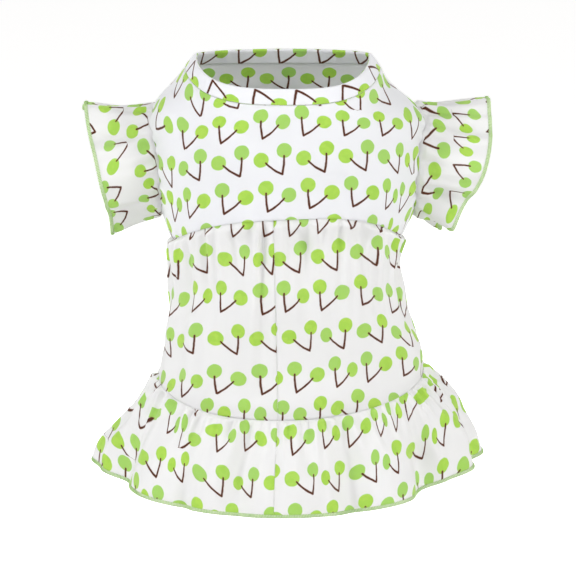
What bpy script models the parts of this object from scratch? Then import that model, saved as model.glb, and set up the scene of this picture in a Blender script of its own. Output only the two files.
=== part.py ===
"""Gathered cotton dress for a small dog.

A lined yoke in two pieces carries a neckband and two flutter sleeves, and a skirt and a flounce of
two panels each hang from it. Green thread edging finishes the flounce and the sleeves.
Run with: blender --background --python part.py. Metres, +Z up. The dog's back faces -Y and its
chest +Y, the right sleeve points along +X, and the origin is the middle of the neck seam.

Turns are degrees round the body: 0 at the middle of the back, 90 at the right side, 180 at the
chest. Shares run from 0 at the top of a tier to 1 at its foot.
"""

import math
from collections import namedtuple

import bpy
import numpy as np
from mathutils import Vector
from mathutils.bvhtree import BVHTree

# Lengths down the sides
YOKE_LENGTH = 0.1025
SKIRT_LENGTH = 0.0845
FLOUNCE_LENGTH = 0.0540

# Whole widths and depths of the openings and seams
NECK_WIDTH = 0.1156
NECK_DEPTH = 0.0670
SHOULDER_WIDTH = 0.1640
CHEST_WIDTH = 0.1480
CHEST_DEPTH = 0.1050
WAIST_WIDTH = 0.1345
WAIST_DEPTH = 0.1080
SKIRT_WIDTH = 0.1590
SKIRT_DEPTH = 0.1150
HEM_WIDTH = 0.2260
HEM_DEPTH = 0.1530

# How far each seam rises above its side level at the back and at the chest, how far its right side
# lifts and its left side drops, and how far it sways up on the right of the back
NECK_BACK_RISE = -0.0153
NECK_CHEST_RISE = -0.0010
YOKE_BACK_RISE = 0.0198
YOKE_CHEST_RISE = 0.0
YOKE_SWAY = 0.0030
SKIRT_BACK_RISE = -0.0154
SKIRT_CHEST_RISE = 0.0110
SKIRT_TILT = 0.0021
HEM_BACK_RISE = -0.0158
HEM_CHEST_RISE = 0.0160
HEM_TILT = 0.0042
HEM_SWAY = -0.0030

# Neckband
BAND_HEIGHT = 0.0095
BAND_WALL = 0.0022

# Sleeves
ARMHOLE_HEIGHT = 0.0668
ARMHOLE_DEPTH = 0.0480
ARMHOLE_DROP = 0.0580
ARMHOLE_SETBACK = 0.0090
SLEEVE_REACH = 0.1100
CUFF_HEIGHT = 0.0730
CUFF_DEPTH = 0.0740
CUFF_DROP = 0.0620
# How far the sleeve stands off the yoke at its seam, and how far its heading reaches inside
SLEEVE_STAND = 0.0015
HEADING_REACH = 0.0100
# A sleeve flares early if this power is under 1.
SLEEVE_FLARE_POWER = 0.7
# The plugs that cut the armholes run between these distances from the middle.
CUTTER_INSIDE = 0.0296
CUTTER_OUTSIDE = 0.1148

# Cloth, seams and thread edging
YOKE_WALL = 0.0016
SKIRT_WALL = 0.0012
FLOUNCE_WALL = 0.0012
SLEEVE_WALL = 0.0012
SEAM_GAP = 0.0003
SEAM_LAP = 0.0050
TUCK_RUN = 0.0060
EDGING_WIDTH = 0.0025
EDGING_WALL = 0.0017
# The share of its width at which the edging starts to round off
EDGING_SHOULDER = 0.7

# Turns of the seams, in degrees
SIDE_SEAM_TURN = 100.0
BACK_SEAM_TOP_TURN = -6.5
BACK_SEAM_FOOT_TURN = -4.0

# How square the seams run round the back, and all rings round the chest: 2 is an ellipse
NECK_CORNER = 3.0
SKIRT_CORNER = 2.4
CHEST_CORNER = 2.1

# Mesh fineness
NECK_COLUMNS = 44
YOKE_COLUMNS = 36
PANEL_COLUMNS = 44
ARMHOLE_COLUMNS = 36
YOKE_ROW_SHARES = (0.0, 0.09, 0.18, 0.27, 0.46, 0.66, 0.85, 1.0)
SLEEVE_ROWS = 3
# Rows of a gathered tier: the first as a share of its tuck, the others as shares of its length
TUCK_ROW = 0.9
TIER_ROW_SHARES = (0.30, 0.53, 0.77)
# Columns of a panel crowd towards the back seam as this power grows past 1.
BACK_CROWDING = 1.2

WHITE_COTTON = ("white cotton", (0.86, 0.87, 0.89, 1.0), 0.85)
LINED_COTTON = ("lined white cotton", (0.88, 0.89, 0.91, 1.0), 0.85)
GREEN_THREAD = ("green thread", (0.45, 0.68, 0.22, 1.0), 0.6)

# A section gives the left and right half widths as shares of half the width, the depths to the
# back and to the chest as shares of the depth, and how square its ring is round the back.
Section = namedtuple("Section", "share width left right depth back chest corner")

YOKE_SECTIONS = (
    Section(0.00, NECK_WIDTH, 1.042, 0.958, NECK_DEPTH, 0.716, 0.284, 3.0),
    Section(0.08, NECK_WIDTH, 1.142, 1.030, NECK_DEPTH, 0.732, 0.370, 2.9),
    Section(0.19, SHOULDER_WIDTH, 0.928, 0.876, CHEST_DEPTH, 0.474, 0.300, 2.6),
    Section(0.26, SHOULDER_WIDTH, 0.980, 0.965, CHEST_DEPTH, 0.478, 0.350, 2.4),
    Section(0.48, SHOULDER_WIDTH, 0.966, 0.978, CHEST_DEPTH, 0.486, 0.462, 2.3),
    Section(0.89, CHEST_WIDTH, 0.990, 0.995, CHEST_DEPTH, 0.490, 0.510, 2.4),
    Section(1.00, WAIST_WIDTH, 1.036, 1.024, WAIST_DEPTH, 0.482, 0.500, 2.6),
)
SKIRT_SECTIONS = (
    Section(0.00, WAIST_WIDTH, 1.036, 1.024, WAIST_DEPTH, 0.482, 0.500, 2.6),
    Section(0.17, WAIST_WIDTH, 1.036, 0.990, WAIST_DEPTH, 0.491, 0.505, 2.5),
    Section(0.47, WAIST_WIDTH, 1.048, 1.040, WAIST_DEPTH, 0.509, 0.515, 2.4),
    Section(0.77, SKIRT_WIDTH, 0.912, 0.985, SKIRT_DEPTH, 0.487, 0.496, 2.4),
    Section(1.00, SKIRT_WIDTH, 0.975, 1.035, SKIRT_DEPTH, 0.496, 0.504, 2.4),
)
FLOUNCE_SECTIONS = (
    Section(0.00, SKIRT_WIDTH, 0.975, 1.035, SKIRT_DEPTH, 0.496, 0.504, 2.4),
    Section(0.20, HEM_WIDTH, 0.770, 0.815, HEM_DEPTH, 0.412, 0.410, 2.3),
    Section(0.40, HEM_WIDTH, 0.855, 0.898, HEM_DEPTH, 0.444, 0.437, 2.2),
    Section(0.70, HEM_WIDTH, 0.945, 0.975, HEM_DEPTH, 0.484, 0.470, 2.1),
    Section(1.00, HEM_WIDTH, 0.985, 0.998, HEM_DEPTH, 0.510, 0.490, 2.1),
)

# A fold stands proud by its rise, or sinks if that is negative, as a share of the tier's length.
# It is half_turn wide on each side, grows over the shares from start to full and is gone at end.
Fold = namedtuple("Fold", "turn half_turn rise start full end")

SKIRT_FOLDS = (
    Fold(-75, 9, -0.020, 0.00, 0.12, 0.55),
    Fold(-54, 8, -0.032, 0.00, 0.15, 0.95),
    Fold(-38, 8, -0.019, 0.00, 0.12, 0.60),
    Fold(-24, 7, -0.015, 0.00, 0.10, 0.50),
    Fold(-12, 6, -0.036, 0.00, 0.15, 1.20),
    Fold(10, 7, -0.030, 0.00, 0.15, 0.75),
    Fold(28, 8, -0.026, 0.00, 0.12, 0.60),
    Fold(43, 8, -0.022, 0.00, 0.12, 0.65),
    Fold(59, 8, -0.024, 0.00, 0.12, 0.80),
    Fold(77, 8, -0.020, 0.00, 0.12, 0.60),
    Fold(1, 30, 0.016, 0.00, 0.60, 1.60),
    Fold(-48, 26, 0.022, 0.10, 0.60, 1.50),
    Fold(52, 26, 0.020, 0.10, 0.60, 1.50),
)
FLOUNCE_FOLDS = (
    Fold(-92, 13, 0.075, 0.10, 1.00, 2.00),
    Fold(-66, 16, -0.100, 0.05, 0.85, 2.00),
    Fold(-44, 12, 0.060, 0.15, 1.00, 2.00),
    Fold(-33, 5, -0.045, 0.30, 1.00, 2.00),
    Fold(-16, 11, -0.075, 0.00, 0.60, 1.60),
    Fold(2, 11, 0.045, 0.00, 0.60, 1.80),
    Fold(20, 10, -0.100, 0.00, 0.60, 1.70),
    Fold(34, 11, 0.060, 0.10, 0.80, 2.00),
    Fold(48, 12, -0.125, 0.05, 0.75, 1.90),
    Fold(68, 12, 0.060, 0.10, 0.90, 2.00),
    Fold(86, 12, 0.080, 0.10, 1.00, 2.00),
    Fold(101, 9, -0.120, 0.10, 0.95, 2.00),
)
# The chest side is plain, with even gathers and flutes between these turns.
PLAIN_FROM_TURN = 112.0
PLAIN_TO_TURN = 250.0
SKIRT_PLAIN_PITCH = 17.0
SKIRT_PLAIN_FOLD = Fold(0, 7, -0.020, 0.00, 0.12, 0.60)
FLOUNCE_PLAIN_PITCH = 26.0
FLOUNCE_PLAIN_FOLD = Fold(0, 11, -0.090, 0.05, 0.90, 2.00)

# Round a sleeve the turn is 0 at the top, 90 at the dog's back and 180 below. The rises of its folds
# are shares of the cuff's height. A cuff reaches out by shares of the sleeve's reach: its mean, how
# much more at the top than below, how much more at back and chest, and how much more at the back.
Cuff = namedtuple("Cuff", "mean slant fullness swing")

LEFT_CUFF = Cuff(1.035, 0.075, 0.006, -0.028)
RIGHT_CUFF = Cuff(0.968, 0.131, 0.087, 0.000)
LEFT_SLEEVE_FOLDS = (
    Fold(22, 18, 0.045, 0.10, 1.00, 2.00),
    Fold(52, 16, -0.045, 0.00, 0.60, 1.60),
    Fold(92, 24, 0.030, 0.00, 0.80, 2.00),
    Fold(136, 16, -0.040, 0.00, 0.50, 1.50),
    Fold(166, 18, 0.045, 0.10, 1.00, 2.00),
    Fold(204, 16, -0.060, 0.05, 0.80, 2.00),
    Fold(240, 18, 0.060, 0.05, 0.80, 2.00),
    Fold(278, 18, -0.050, 0.05, 0.80, 2.00),
    Fold(316, 20, 0.070, 0.05, 1.00, 2.00),
    Fold(350, 14, -0.030, 0.05, 0.80, 2.00),
)
RIGHT_SLEEVE_FOLDS = (
    Fold(8, 20, 0.045, 0.10, 1.00, 2.00),
    Fold(42, 15, -0.040, 0.00, 0.60, 1.60),
    Fold(80, 22, 0.040, 0.00, 0.80, 2.00),
    Fold(116, 15, -0.055, 0.00, 0.55, 1.60),
    Fold(142, 16, 0.060, 0.10, 1.00, 2.00),
    Fold(168, 14, -0.090, 0.05, 0.90, 2.00),
    Fold(192, 14, 0.050, 0.05, 0.90, 2.00),
    Fold(226, 18, -0.055, 0.05, 0.80, 2.00),
    Fold(262, 20, 0.060, 0.05, 0.80, 2.00),
    Fold(302, 18, -0.055, 0.05, 0.80, 2.00),
    Fold(336, 18, 0.045, 0.05, 1.00, 2.00),
)

# The band leans in over the neck by these angles from upright, in degrees.
BAND_LEAN_BACK = 12.0
BAND_LEAN_SIDE = 38.0
BAND_LEAN_CHEST = 24.0
# The band follows the yoke at its foot and has its own lean from this share of its height up.
BAND_TURNED_SHARE = 0.5
# Shares of the band's height and of its wall, from the outer foot over the top to the inner foot
BAND_PROFILE = (
    (0.00, 0.00),
    (0.50, 0.00),
    (0.90, 0.06),
    (1.00, 0.30),
    (1.00, 0.70),
    (0.90, 0.94),
    (0.50, 1.00),
    (0.00, 1.00),
)

# Steps for the slopes that a normal is worked out from
TURN_STEP = 0.25
SHARE_STEP = 0.004


def through(shares, values, at):
    """A smooth line through the values at the shares, straight on past both ends."""
    shares = np.asarray(shares, float)
    values = np.asarray(values, float)
    slopes = np.gradient(values, shares)
    span = np.clip(np.searchsorted(shares, at, side="right") - 1, 0, len(shares) - 2)
    width = shares[span + 1] - shares[span]
    inside = np.clip(at, shares[0], shares[-1])
    t = (inside - shares[span]) / width
    line = (
        values[span] * (2 * t**3 - 3 * t**2 + 1)
        + slopes[span] * width * (t**3 - 2 * t**2 + t)
        + values[span + 1] * (3 * t**2 - 2 * t**3)
        + slopes[span + 1] * width * (t**3 - t**2)
    )
    end_slope = np.where(at < shares[0], slopes[0], slopes[-1])
    return line + (at - inside) * end_slope


def eased(t):
    """0 below 0, 1 above 1, and a smooth rise between."""
    t = np.clip(t, 0.0, 1.0)
    return t * t * (3 - 2 * t)


def ring_direction(turn, back_corner):
    """Across and towards the back at a turn, on a ring from an ellipse to a rounded box."""
    sine = np.sin(np.radians(turn))
    cosine = np.cos(np.radians(turn))
    corner = np.where(cosine > 0, back_corner, CHEST_CORNER)
    reach = (np.abs(sine) ** corner + np.abs(cosine) ** corner) ** (-1.0 / corner)
    return sine * reach, cosine * reach


def turn_apart(a, b):
    """The signed turn from b to a, between -180 and 180 degrees."""
    return (a - b + 180.0) % 360.0 - 180.0


def fold_relief(folds, turn, share):
    """How far the folds lift the cloth, as a share of the length that they follow."""
    lift = np.zeros(np.broadcast(turn, share).shape)
    for fold in folds:
        across = np.clip(turn_apart(turn, fold.turn) / fold.half_turn, -1, 1)
        grown = eased((share - fold.start) / (fold.full - fold.start))
        gone = eased((share - fold.full) / (fold.end - fold.full))
        lift = lift + fold.rise * (0.5 + 0.5 * np.cos(np.pi * across)) * grown * (1 - gone)
    return lift


def plain_folds(pattern, pitch):
    """Even folds over the chest side, each a copy of the pattern at its own turn."""
    count = int((PLAIN_TO_TURN - PLAIN_FROM_TURN) // pitch) + 1
    return tuple(pattern._replace(turn=PLAIN_FROM_TURN + i * pitch) for i in range(count))


class SeamLevel:
    """The height of a seam or hem round the body."""

    def __init__(self, side, back_rise, chest_rise, corner, tilt=0.0, sway=0.0):
        self.side = side
        self.back_rise = back_rise
        self.chest_rise = chest_rise
        self.corner = corner
        self.tilt = tilt
        self.sway = sway

    def height(self, turn):
        """The level of the seam at a turn."""
        across, back = ring_direction(turn, self.corner)
        rise = np.where(back > 0, self.back_rise, self.chest_rise) * back**2
        return self.side + rise + self.tilt * across + self.sway * across * back


class Cloth:
    """A surface with an outer face, from which its other layers are offset inwards."""

    outward = 1.0

    def normal(self, turn, share):
        """The outward direction of the outer face."""
        along = self.outer(turn + TURN_STEP, share) - self.outer(turn - TURN_STEP, share)
        down = self.outer(turn, share + SHARE_STEP) - self.outer(turn, share - SHARE_STEP)
        across = np.cross(down, along) * self.outward
        return across / np.linalg.norm(across, axis=-1, keepdims=True)

    def layer(self, turn, share, depth):
        """Points at this depth under the outer face."""
        return self.outer(turn, share) - self.normal(turn, share) * depth


class Tier(Cloth):
    """A length of the dress between two seams, which may be gathered into a tier above it."""

    def __init__(self, length, sections, top, foot, folds=(), wall=0.0, carrier=None):
        self.length = length
        self.sections = sections
        self.top = top
        self.foot = foot
        self.folds = folds
        self.wall = wall
        self.carrier = carrier
        self.tuck = carrier.wall + SEAM_GAP if carrier else 0.0

    def column(self, half, name, share):
        """One size of the sections at a share, half being the factor from whole to half width."""
        of = "width" if name in ("left", "right") else "depth"
        values = [getattr(s, of) * half * getattr(s, name) for s in self.sections]
        return through([s.share for s in self.sections], values, share)

    def base(self, turn, share):
        """The smooth outer face before folds."""
        corner = through([s.share for s in self.sections], [s.corner for s in self.sections], share)
        across, back = ring_direction(turn, corner)
        half_width = np.where(
            across > 0, self.column(0.5, "right", share), self.column(0.5, "left", share)
        )
        reach = np.where(
            back > 0, self.column(1.0, "back", share), self.column(1.0, "chest", share)
        )
        height = (1 - share) * self.top.height(turn) + share * self.foot.height(turn)
        return np.stack([half_width * across, -reach * back, height], axis=-1)

    def relief(self, turn, share):
        """How far the cloth stands out from its smooth face."""
        lift = self.length * fold_relief(self.folds, turn, share)
        if self.carrier:
            run = TUCK_RUN / self.length
            lift = lift - self.tuck * (1 - eased(share / run))
            lift = lift + self.carrier.relief(turn, np.ones_like(share)) * (1 - eased(share))
        return lift

    def outer(self, turn, share):
        """Points of the outer face, with its folds."""
        turn = np.asarray(turn, float)
        share = np.asarray(share, float)
        along = self.base(turn + TURN_STEP, share) - self.base(turn - TURN_STEP, share)
        down = self.base(turn, share + SHARE_STEP) - self.base(turn, share - SHARE_STEP)
        across = np.cross(down, along)
        across = across / np.linalg.norm(across, axis=-1, keepdims=True)
        return self.base(turn, share) + across * self.relief(turn, share)[..., None]


class Sleeve(Cloth):
    """A flutter sleeve on one side, gathered into the armhole."""

    def __init__(self, side, folds, cuff, yoke_faces):
        self.side = side
        self.outward = -side
        self.folds = folds
        self.cuff = cuff
        self.turns = np.linspace(0.0, 360.0, ARMHOLE_COLUMNS + 1)
        self.seat = np.array([yoke_reach(yoke_faces, side, t) for t in self.turns])

    def root(self, turn):
        """Depth and height of the sleeve's root ring, a seam gap inside the armhole."""
        angle = np.radians(turn)
        depth = ARMHOLE_SETBACK - (ARMHOLE_DEPTH / 2 - SEAM_GAP) * np.sin(angle)
        height = -ARMHOLE_DROP + (ARMHOLE_HEIGHT / 2 - SEAM_GAP) * np.cos(angle)
        return depth, height

    def outer(self, turn, share):
        """Points of the outer face: share 0 at the armhole, 1 at the cuff, -1 at the heading."""
        turn = np.asarray(turn, float)
        share = np.asarray(share, float)
        angle = np.radians(turn)
        seat = np.interp(turn % 360.0, self.turns, self.seat) + SLEEVE_STAND
        cuff = SLEEVE_REACH * (
            self.cuff.mean
            + self.cuff.slant * np.cos(angle)
            + self.cuff.fullness * np.sin(angle) ** 2
            + self.cuff.swing * np.sin(angle)
        )
        reach = seat + share * np.where(share > 0, cuff - seat, HEADING_REACH)
        root_depth, root_height = self.root(turn)
        lift = CUFF_HEIGHT * fold_relief(self.folds, turn, share)
        cuff_depth = ARMHOLE_SETBACK - (CUFF_DEPTH / 2) * np.sin(angle)
        cuff_height = -CUFF_DROP + (CUFF_HEIGHT / 2) * np.cos(angle)
        flare = np.clip(share, 0, None) ** SLEEVE_FLARE_POWER
        depth = root_depth + flare * (cuff_depth - root_depth) - lift * np.sin(angle)
        height = root_height + flare * (cuff_height - root_height) + lift * np.cos(angle)
        return np.stack([self.side * reach, depth, height], axis=-1)


def yoke_reach(yoke_faces, side, turn):
    """How far out the yoke's outer face is at this turn of the armhole's edge."""
    angle = math.radians(turn)
    depth = ARMHOLE_SETBACK - ARMHOLE_DEPTH / 2 * math.sin(angle)
    height = -ARMHOLE_DROP + ARMHOLE_HEIGHT / 2 * math.cos(angle)
    start = Vector((side * SHOULDER_WIDTH, depth, height))
    hit = yoke_faces.ray_cast(start, Vector((-side, 0.0, 0.0)))[0]
    return abs(hit.x) if hit else SHOULDER_WIDTH / 2


def grid_quads(rows, columns, closed):
    """Faces of a grid of points, row by row, with the last column joined to the first if closed."""
    spans = columns if closed else columns - 1
    return [
        (
            r * columns + c,
            (r + 1) * columns + c,
            (r + 1) * columns + (c + 1) % columns,
            r * columns + (c + 1) % columns,
        )
        for r in range(rows - 1)
        for c in range(spans)
    ]


def shell(name, outer, inner, closed):
    """A closed body between an outer and an inner grid of points, with its rims."""
    rows, columns = outer.shape[:2]
    points = np.concatenate([outer.reshape(-1, 3), inner.reshape(-1, 3)])
    offset = rows * columns
    quads = grid_quads(rows, columns, closed)
    faces = list(quads)
    faces += [tuple(offset + i for i in reversed(q)) for q in quads]
    top = list(range(columns))
    foot = [(rows - 1) * columns + c for c in range(columns)]
    edges = [(top, False), (foot, True)]
    if not closed:
        left = [r * columns for r in range(rows)]
        right = [r * columns + columns - 1 for r in range(rows)]
        edges += [(left, True), (right, False)]
    for edge, reverse in edges:
        ends = edge[1:] + edge[:1] if closed else edge[1:]
        for a, b in zip(edge, ends):
            rim = (a, b, offset + b, offset + a)
            faces.append(tuple(reversed(rim)) if reverse else rim)
    return add_object(name, points, faces)


def swept_ring(name, sections):
    """A closed ring from sections, an array of columns by points round each section."""
    columns, points = sections.shape[:2]
    faces = [
        (
            c * points + p,
            c * points + (p + 1) % points,
            ((c + 1) % columns) * points + (p + 1) % points,
            ((c + 1) % columns) * points + p,
        )
        for c in range(columns)
        for p in range(points)
    ]
    return add_object(name, sections.reshape(-1, 3), faces)


def add_object(name, points, faces):
    """A mesh object in the scene, with its faces pointing out."""
    mesh = bpy.data.meshes.new(name)
    mesh.from_pydata([tuple(p) for p in points], [], faces)
    mesh.validate()
    corners = np.array([[mesh.vertices[i].co[:] for i in f.vertices[:3]] for f in mesh.polygons])
    if np.linalg.det(corners).sum() < 0:
        mesh.flip_normals()
    mesh.shade_smooth()
    body = bpy.data.objects.new(name, mesh)
    bpy.context.scene.collection.objects.link(body)
    return body


def dress(body, finish):
    """Gives a piece its material."""
    name, colour, roughness = finish
    material = bpy.data.materials.get(name) or bpy.data.materials.new(name)
    material.use_nodes = True
    shader = material.node_tree.nodes["Principled BSDF"]
    shader.inputs["Base Color"].default_value = colour
    shader.inputs["Roughness"].default_value = roughness
    shader.inputs["Metallic"].default_value = 0.0
    body.data.materials.append(material)
    return body


def clear_scene():
    """Empties the scene before the dress is built."""
    for old in list(bpy.data.objects):
        bpy.data.objects.remove(old)


def edge_margin(tier, turn, share):
    """Half the seam gap as a turn, in degrees, where two panels of a tier meet."""
    reach = np.linalg.norm(tier.base(turn, share)[..., :2], axis=-1)
    return np.degrees(SEAM_GAP / 2 / reach)


def panel_turns(tier, start, end, shares, steps):
    """The grid of turns of a panel, kept half a seam gap inside its two edges."""
    first = start + edge_margin(tier, start, shares)
    last = end - edge_margin(tier, end, shares)
    return first[:, None] + (last - first)[:, None] * steps


def make_yoke_piece(name, yoke, start, end, columns, cutters):
    """One piece of the yoke, from one side seam to the other, with the armholes cut out."""
    shares = np.array(YOKE_ROW_SHARES)
    starts = np.full_like(shares, start)
    ends = np.full_like(shares, end)
    turns = panel_turns(yoke, starts, ends, shares, np.linspace(0.0, 1.0, columns + 1))
    grid = np.broadcast_to(shares[:, None], turns.shape)
    piece = shell(name, yoke.outer(turns, grid), yoke.layer(turns, grid, yoke.wall), False)
    for cutter in cutters:
        cut = piece.modifiers.new(cutter.name, "BOOLEAN")
        cut.operation = "DIFFERENCE"
        cut.solver = "EXACT"
        cut.object = cutter
    return dress(piece, LINED_COTTON)


def make_armhole_cutter(name, side):
    """An elliptic plug through the side of the yoke."""
    angles = np.linspace(0.0, 2 * math.pi, ARMHOLE_COLUMNS, endpoint=False)
    depth = ARMHOLE_SETBACK - ARMHOLE_DEPTH / 2 * np.sin(angles)
    height = -ARMHOLE_DROP + ARMHOLE_HEIGHT / 2 * np.cos(angles)
    inside = np.full_like(angles, side * CUTTER_INSIDE)
    outside = np.full_like(angles, side * CUTTER_OUTSIDE)
    near = np.stack([inside, depth, height], axis=-1)
    far = np.stack([outside, depth, height], axis=-1)
    count = len(angles)
    faces = [(i, (i + 1) % count, count + (i + 1) % count, count + i) for i in range(count)]
    faces += [tuple(reversed(range(count))), tuple(range(count, 2 * count))]
    cutter = add_object(name, np.concatenate([near, far]), faces)
    cutter.hide_render = True
    cutter.display_type = "WIRE"
    return cutter


def yoke_outer_faces(yoke):
    """The uncut outer face of the yoke, to seat the sleeves on."""
    shares = np.array(YOKE_ROW_SHARES)
    turns = np.linspace(0.0, 360.0, 2 * YOKE_COLUMNS, endpoint=False)
    turn_grid, share_grid = np.meshgrid(turns, shares)
    points = yoke.outer(turn_grid, share_grid).reshape(-1, 3)
    quads = grid_quads(len(shares), len(turns), True)
    return BVHTree.FromPolygons([Vector(p) for p in points], quads)


def band_lean(turn):
    """The neckband's lean from upright, in radians."""
    cosine = np.cos(np.radians(turn))
    end = np.where(cosine > 0, BAND_LEAN_BACK, BAND_LEAN_CHEST)
    return np.radians(BAND_LEAN_SIDE + (end - BAND_LEAN_SIDE) * cosine**2)


def make_neckband(yoke):
    """A folded strip that stands on the neck seam and leans in, with a rounded top edge."""
    turns = np.linspace(0.0, 360.0, NECK_COLUMNS, endpoint=False)
    level = np.zeros_like(turns)
    above = np.full_like(turns, -SEAM_GAP / YOKE_LENGTH)
    foot = yoke.outer(turns, above)
    foot_out = yoke.normal(turns, above)
    along = yoke.base(turns + TURN_STEP, level) - yoke.base(turns - TURN_STEP, level)
    level_out = np.stack([along[:, 1], -along[:, 0], level], axis=-1)
    level_out = level_out / np.linalg.norm(level_out, axis=-1, keepdims=True)
    lean = band_lean(turns)[:, None]
    upright = np.array([0.0, 0.0, 1.0])
    rise = upright * np.cos(lean) - level_out * np.sin(lean)
    band_out = upright * np.sin(lean) + level_out * np.cos(lean)
    rings = []
    for up, inward in BAND_PROFILE:
        out = foot_out + (band_out - foot_out) * min(1.0, up / BAND_TURNED_SHARE)
        rings.append(foot + rise * (up * BAND_HEIGHT) - out * (BAND_WALL * inward))
    return dress(swept_ring("neckband", np.stack(rings, axis=1)), LINED_COTTON)


def tier_shares(tier, last):
    """Rows of a gathered tier below its seam, close together where it leaves the seam."""
    run = TUCK_RUN / tier.length
    return np.array([0.0, TUCK_ROW * run, *TIER_ROW_SHARES, last])


def back_seam_turn(top_turn, foot_turn, shares):
    """The turn of the back seam, which wanders between its two ends."""
    return top_turn + (foot_turn - top_turn) * np.clip(shares, 0.0, 1.0)


def make_panel(name, tier, right, seam_top, seam_foot, last_share):
    """Half a gathered tier, from the back seam round to the chest, headed inside its carrier."""
    shares = tier_shares(tier, last_share)
    seam = back_seam_turn(seam_top, seam_foot, shares)
    chest = np.full_like(shares, 180.0)
    steps = np.linspace(0.0, 1.0, PANEL_COLUMNS + 1) ** BACK_CROWDING
    if right:
        turns = panel_turns(tier, seam, chest, shares, steps)
    else:
        turns = panel_turns(tier, -chest, seam, shares, 1.0 - steps[::-1])
    grid = np.broadcast_to(shares[:, None], turns.shape)
    outer = tier.outer(turns, grid)
    inner = tier.layer(turns, grid, tier.wall)
    above = np.full(turns.shape[1], 1.0 - SEAM_LAP / tier.carrier.length)
    head_outer = tier.carrier.layer(turns[0], above, tier.tuck)
    head_inner = tier.carrier.layer(turns[0], above, tier.tuck + tier.wall)
    outer = np.concatenate([head_outer[None], outer])
    inner = np.concatenate([head_inner[None], inner])
    return dress(shell(name, outer, inner, False), WHITE_COTTON)


def edging_ring(name, cloth, turns, last_share, length, wall):
    """Thread over a cut edge: a strip a seam gap beyond the cloth, proud of both its faces."""
    proud = (EDGING_WALL - wall) / 2
    start = np.full_like(turns, last_share + SEAM_GAP / length)
    middle = np.full_like(turns, last_share + (SEAM_GAP + EDGING_WIDTH * EDGING_SHOULDER) / length)
    end = np.full_like(turns, last_share + (SEAM_GAP + EDGING_WIDTH) / length)
    rings = [
        cloth.layer(turns, start, -proud),
        cloth.layer(turns, middle, -proud),
        cloth.layer(turns, end, wall * 0.5 - proud),
        cloth.layer(turns, end, wall * 0.5 + proud),
        cloth.layer(turns, middle, wall + proud),
        cloth.layer(turns, start, wall + proud),
    ]
    return dress(swept_ring(name, np.stack(rings, axis=1)), GREEN_THREAD)


def make_sleeve(name, sleeve, last_share):
    """A flared ring whose heading passes through the armhole."""
    turns = np.linspace(0.0, 360.0, ARMHOLE_COLUMNS, endpoint=False)
    rows = np.linspace(0.0, last_share, SLEEVE_ROWS + 1)
    shares = np.concatenate([[-1.0], rows])
    turn_grid, share_grid = np.meshgrid(turns, shares)
    outer = sleeve.outer(turn_grid, share_grid)
    inner = sleeve.layer(turn_grid, share_grid, SLEEVE_WALL)
    return dress(shell(name, outer, inner, True), WHITE_COTTON)


def edged_share(length):
    """The share of a length at which the cloth stops and its edging begins."""
    return 1.0 - (EDGING_WIDTH + SEAM_GAP) / length


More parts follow.
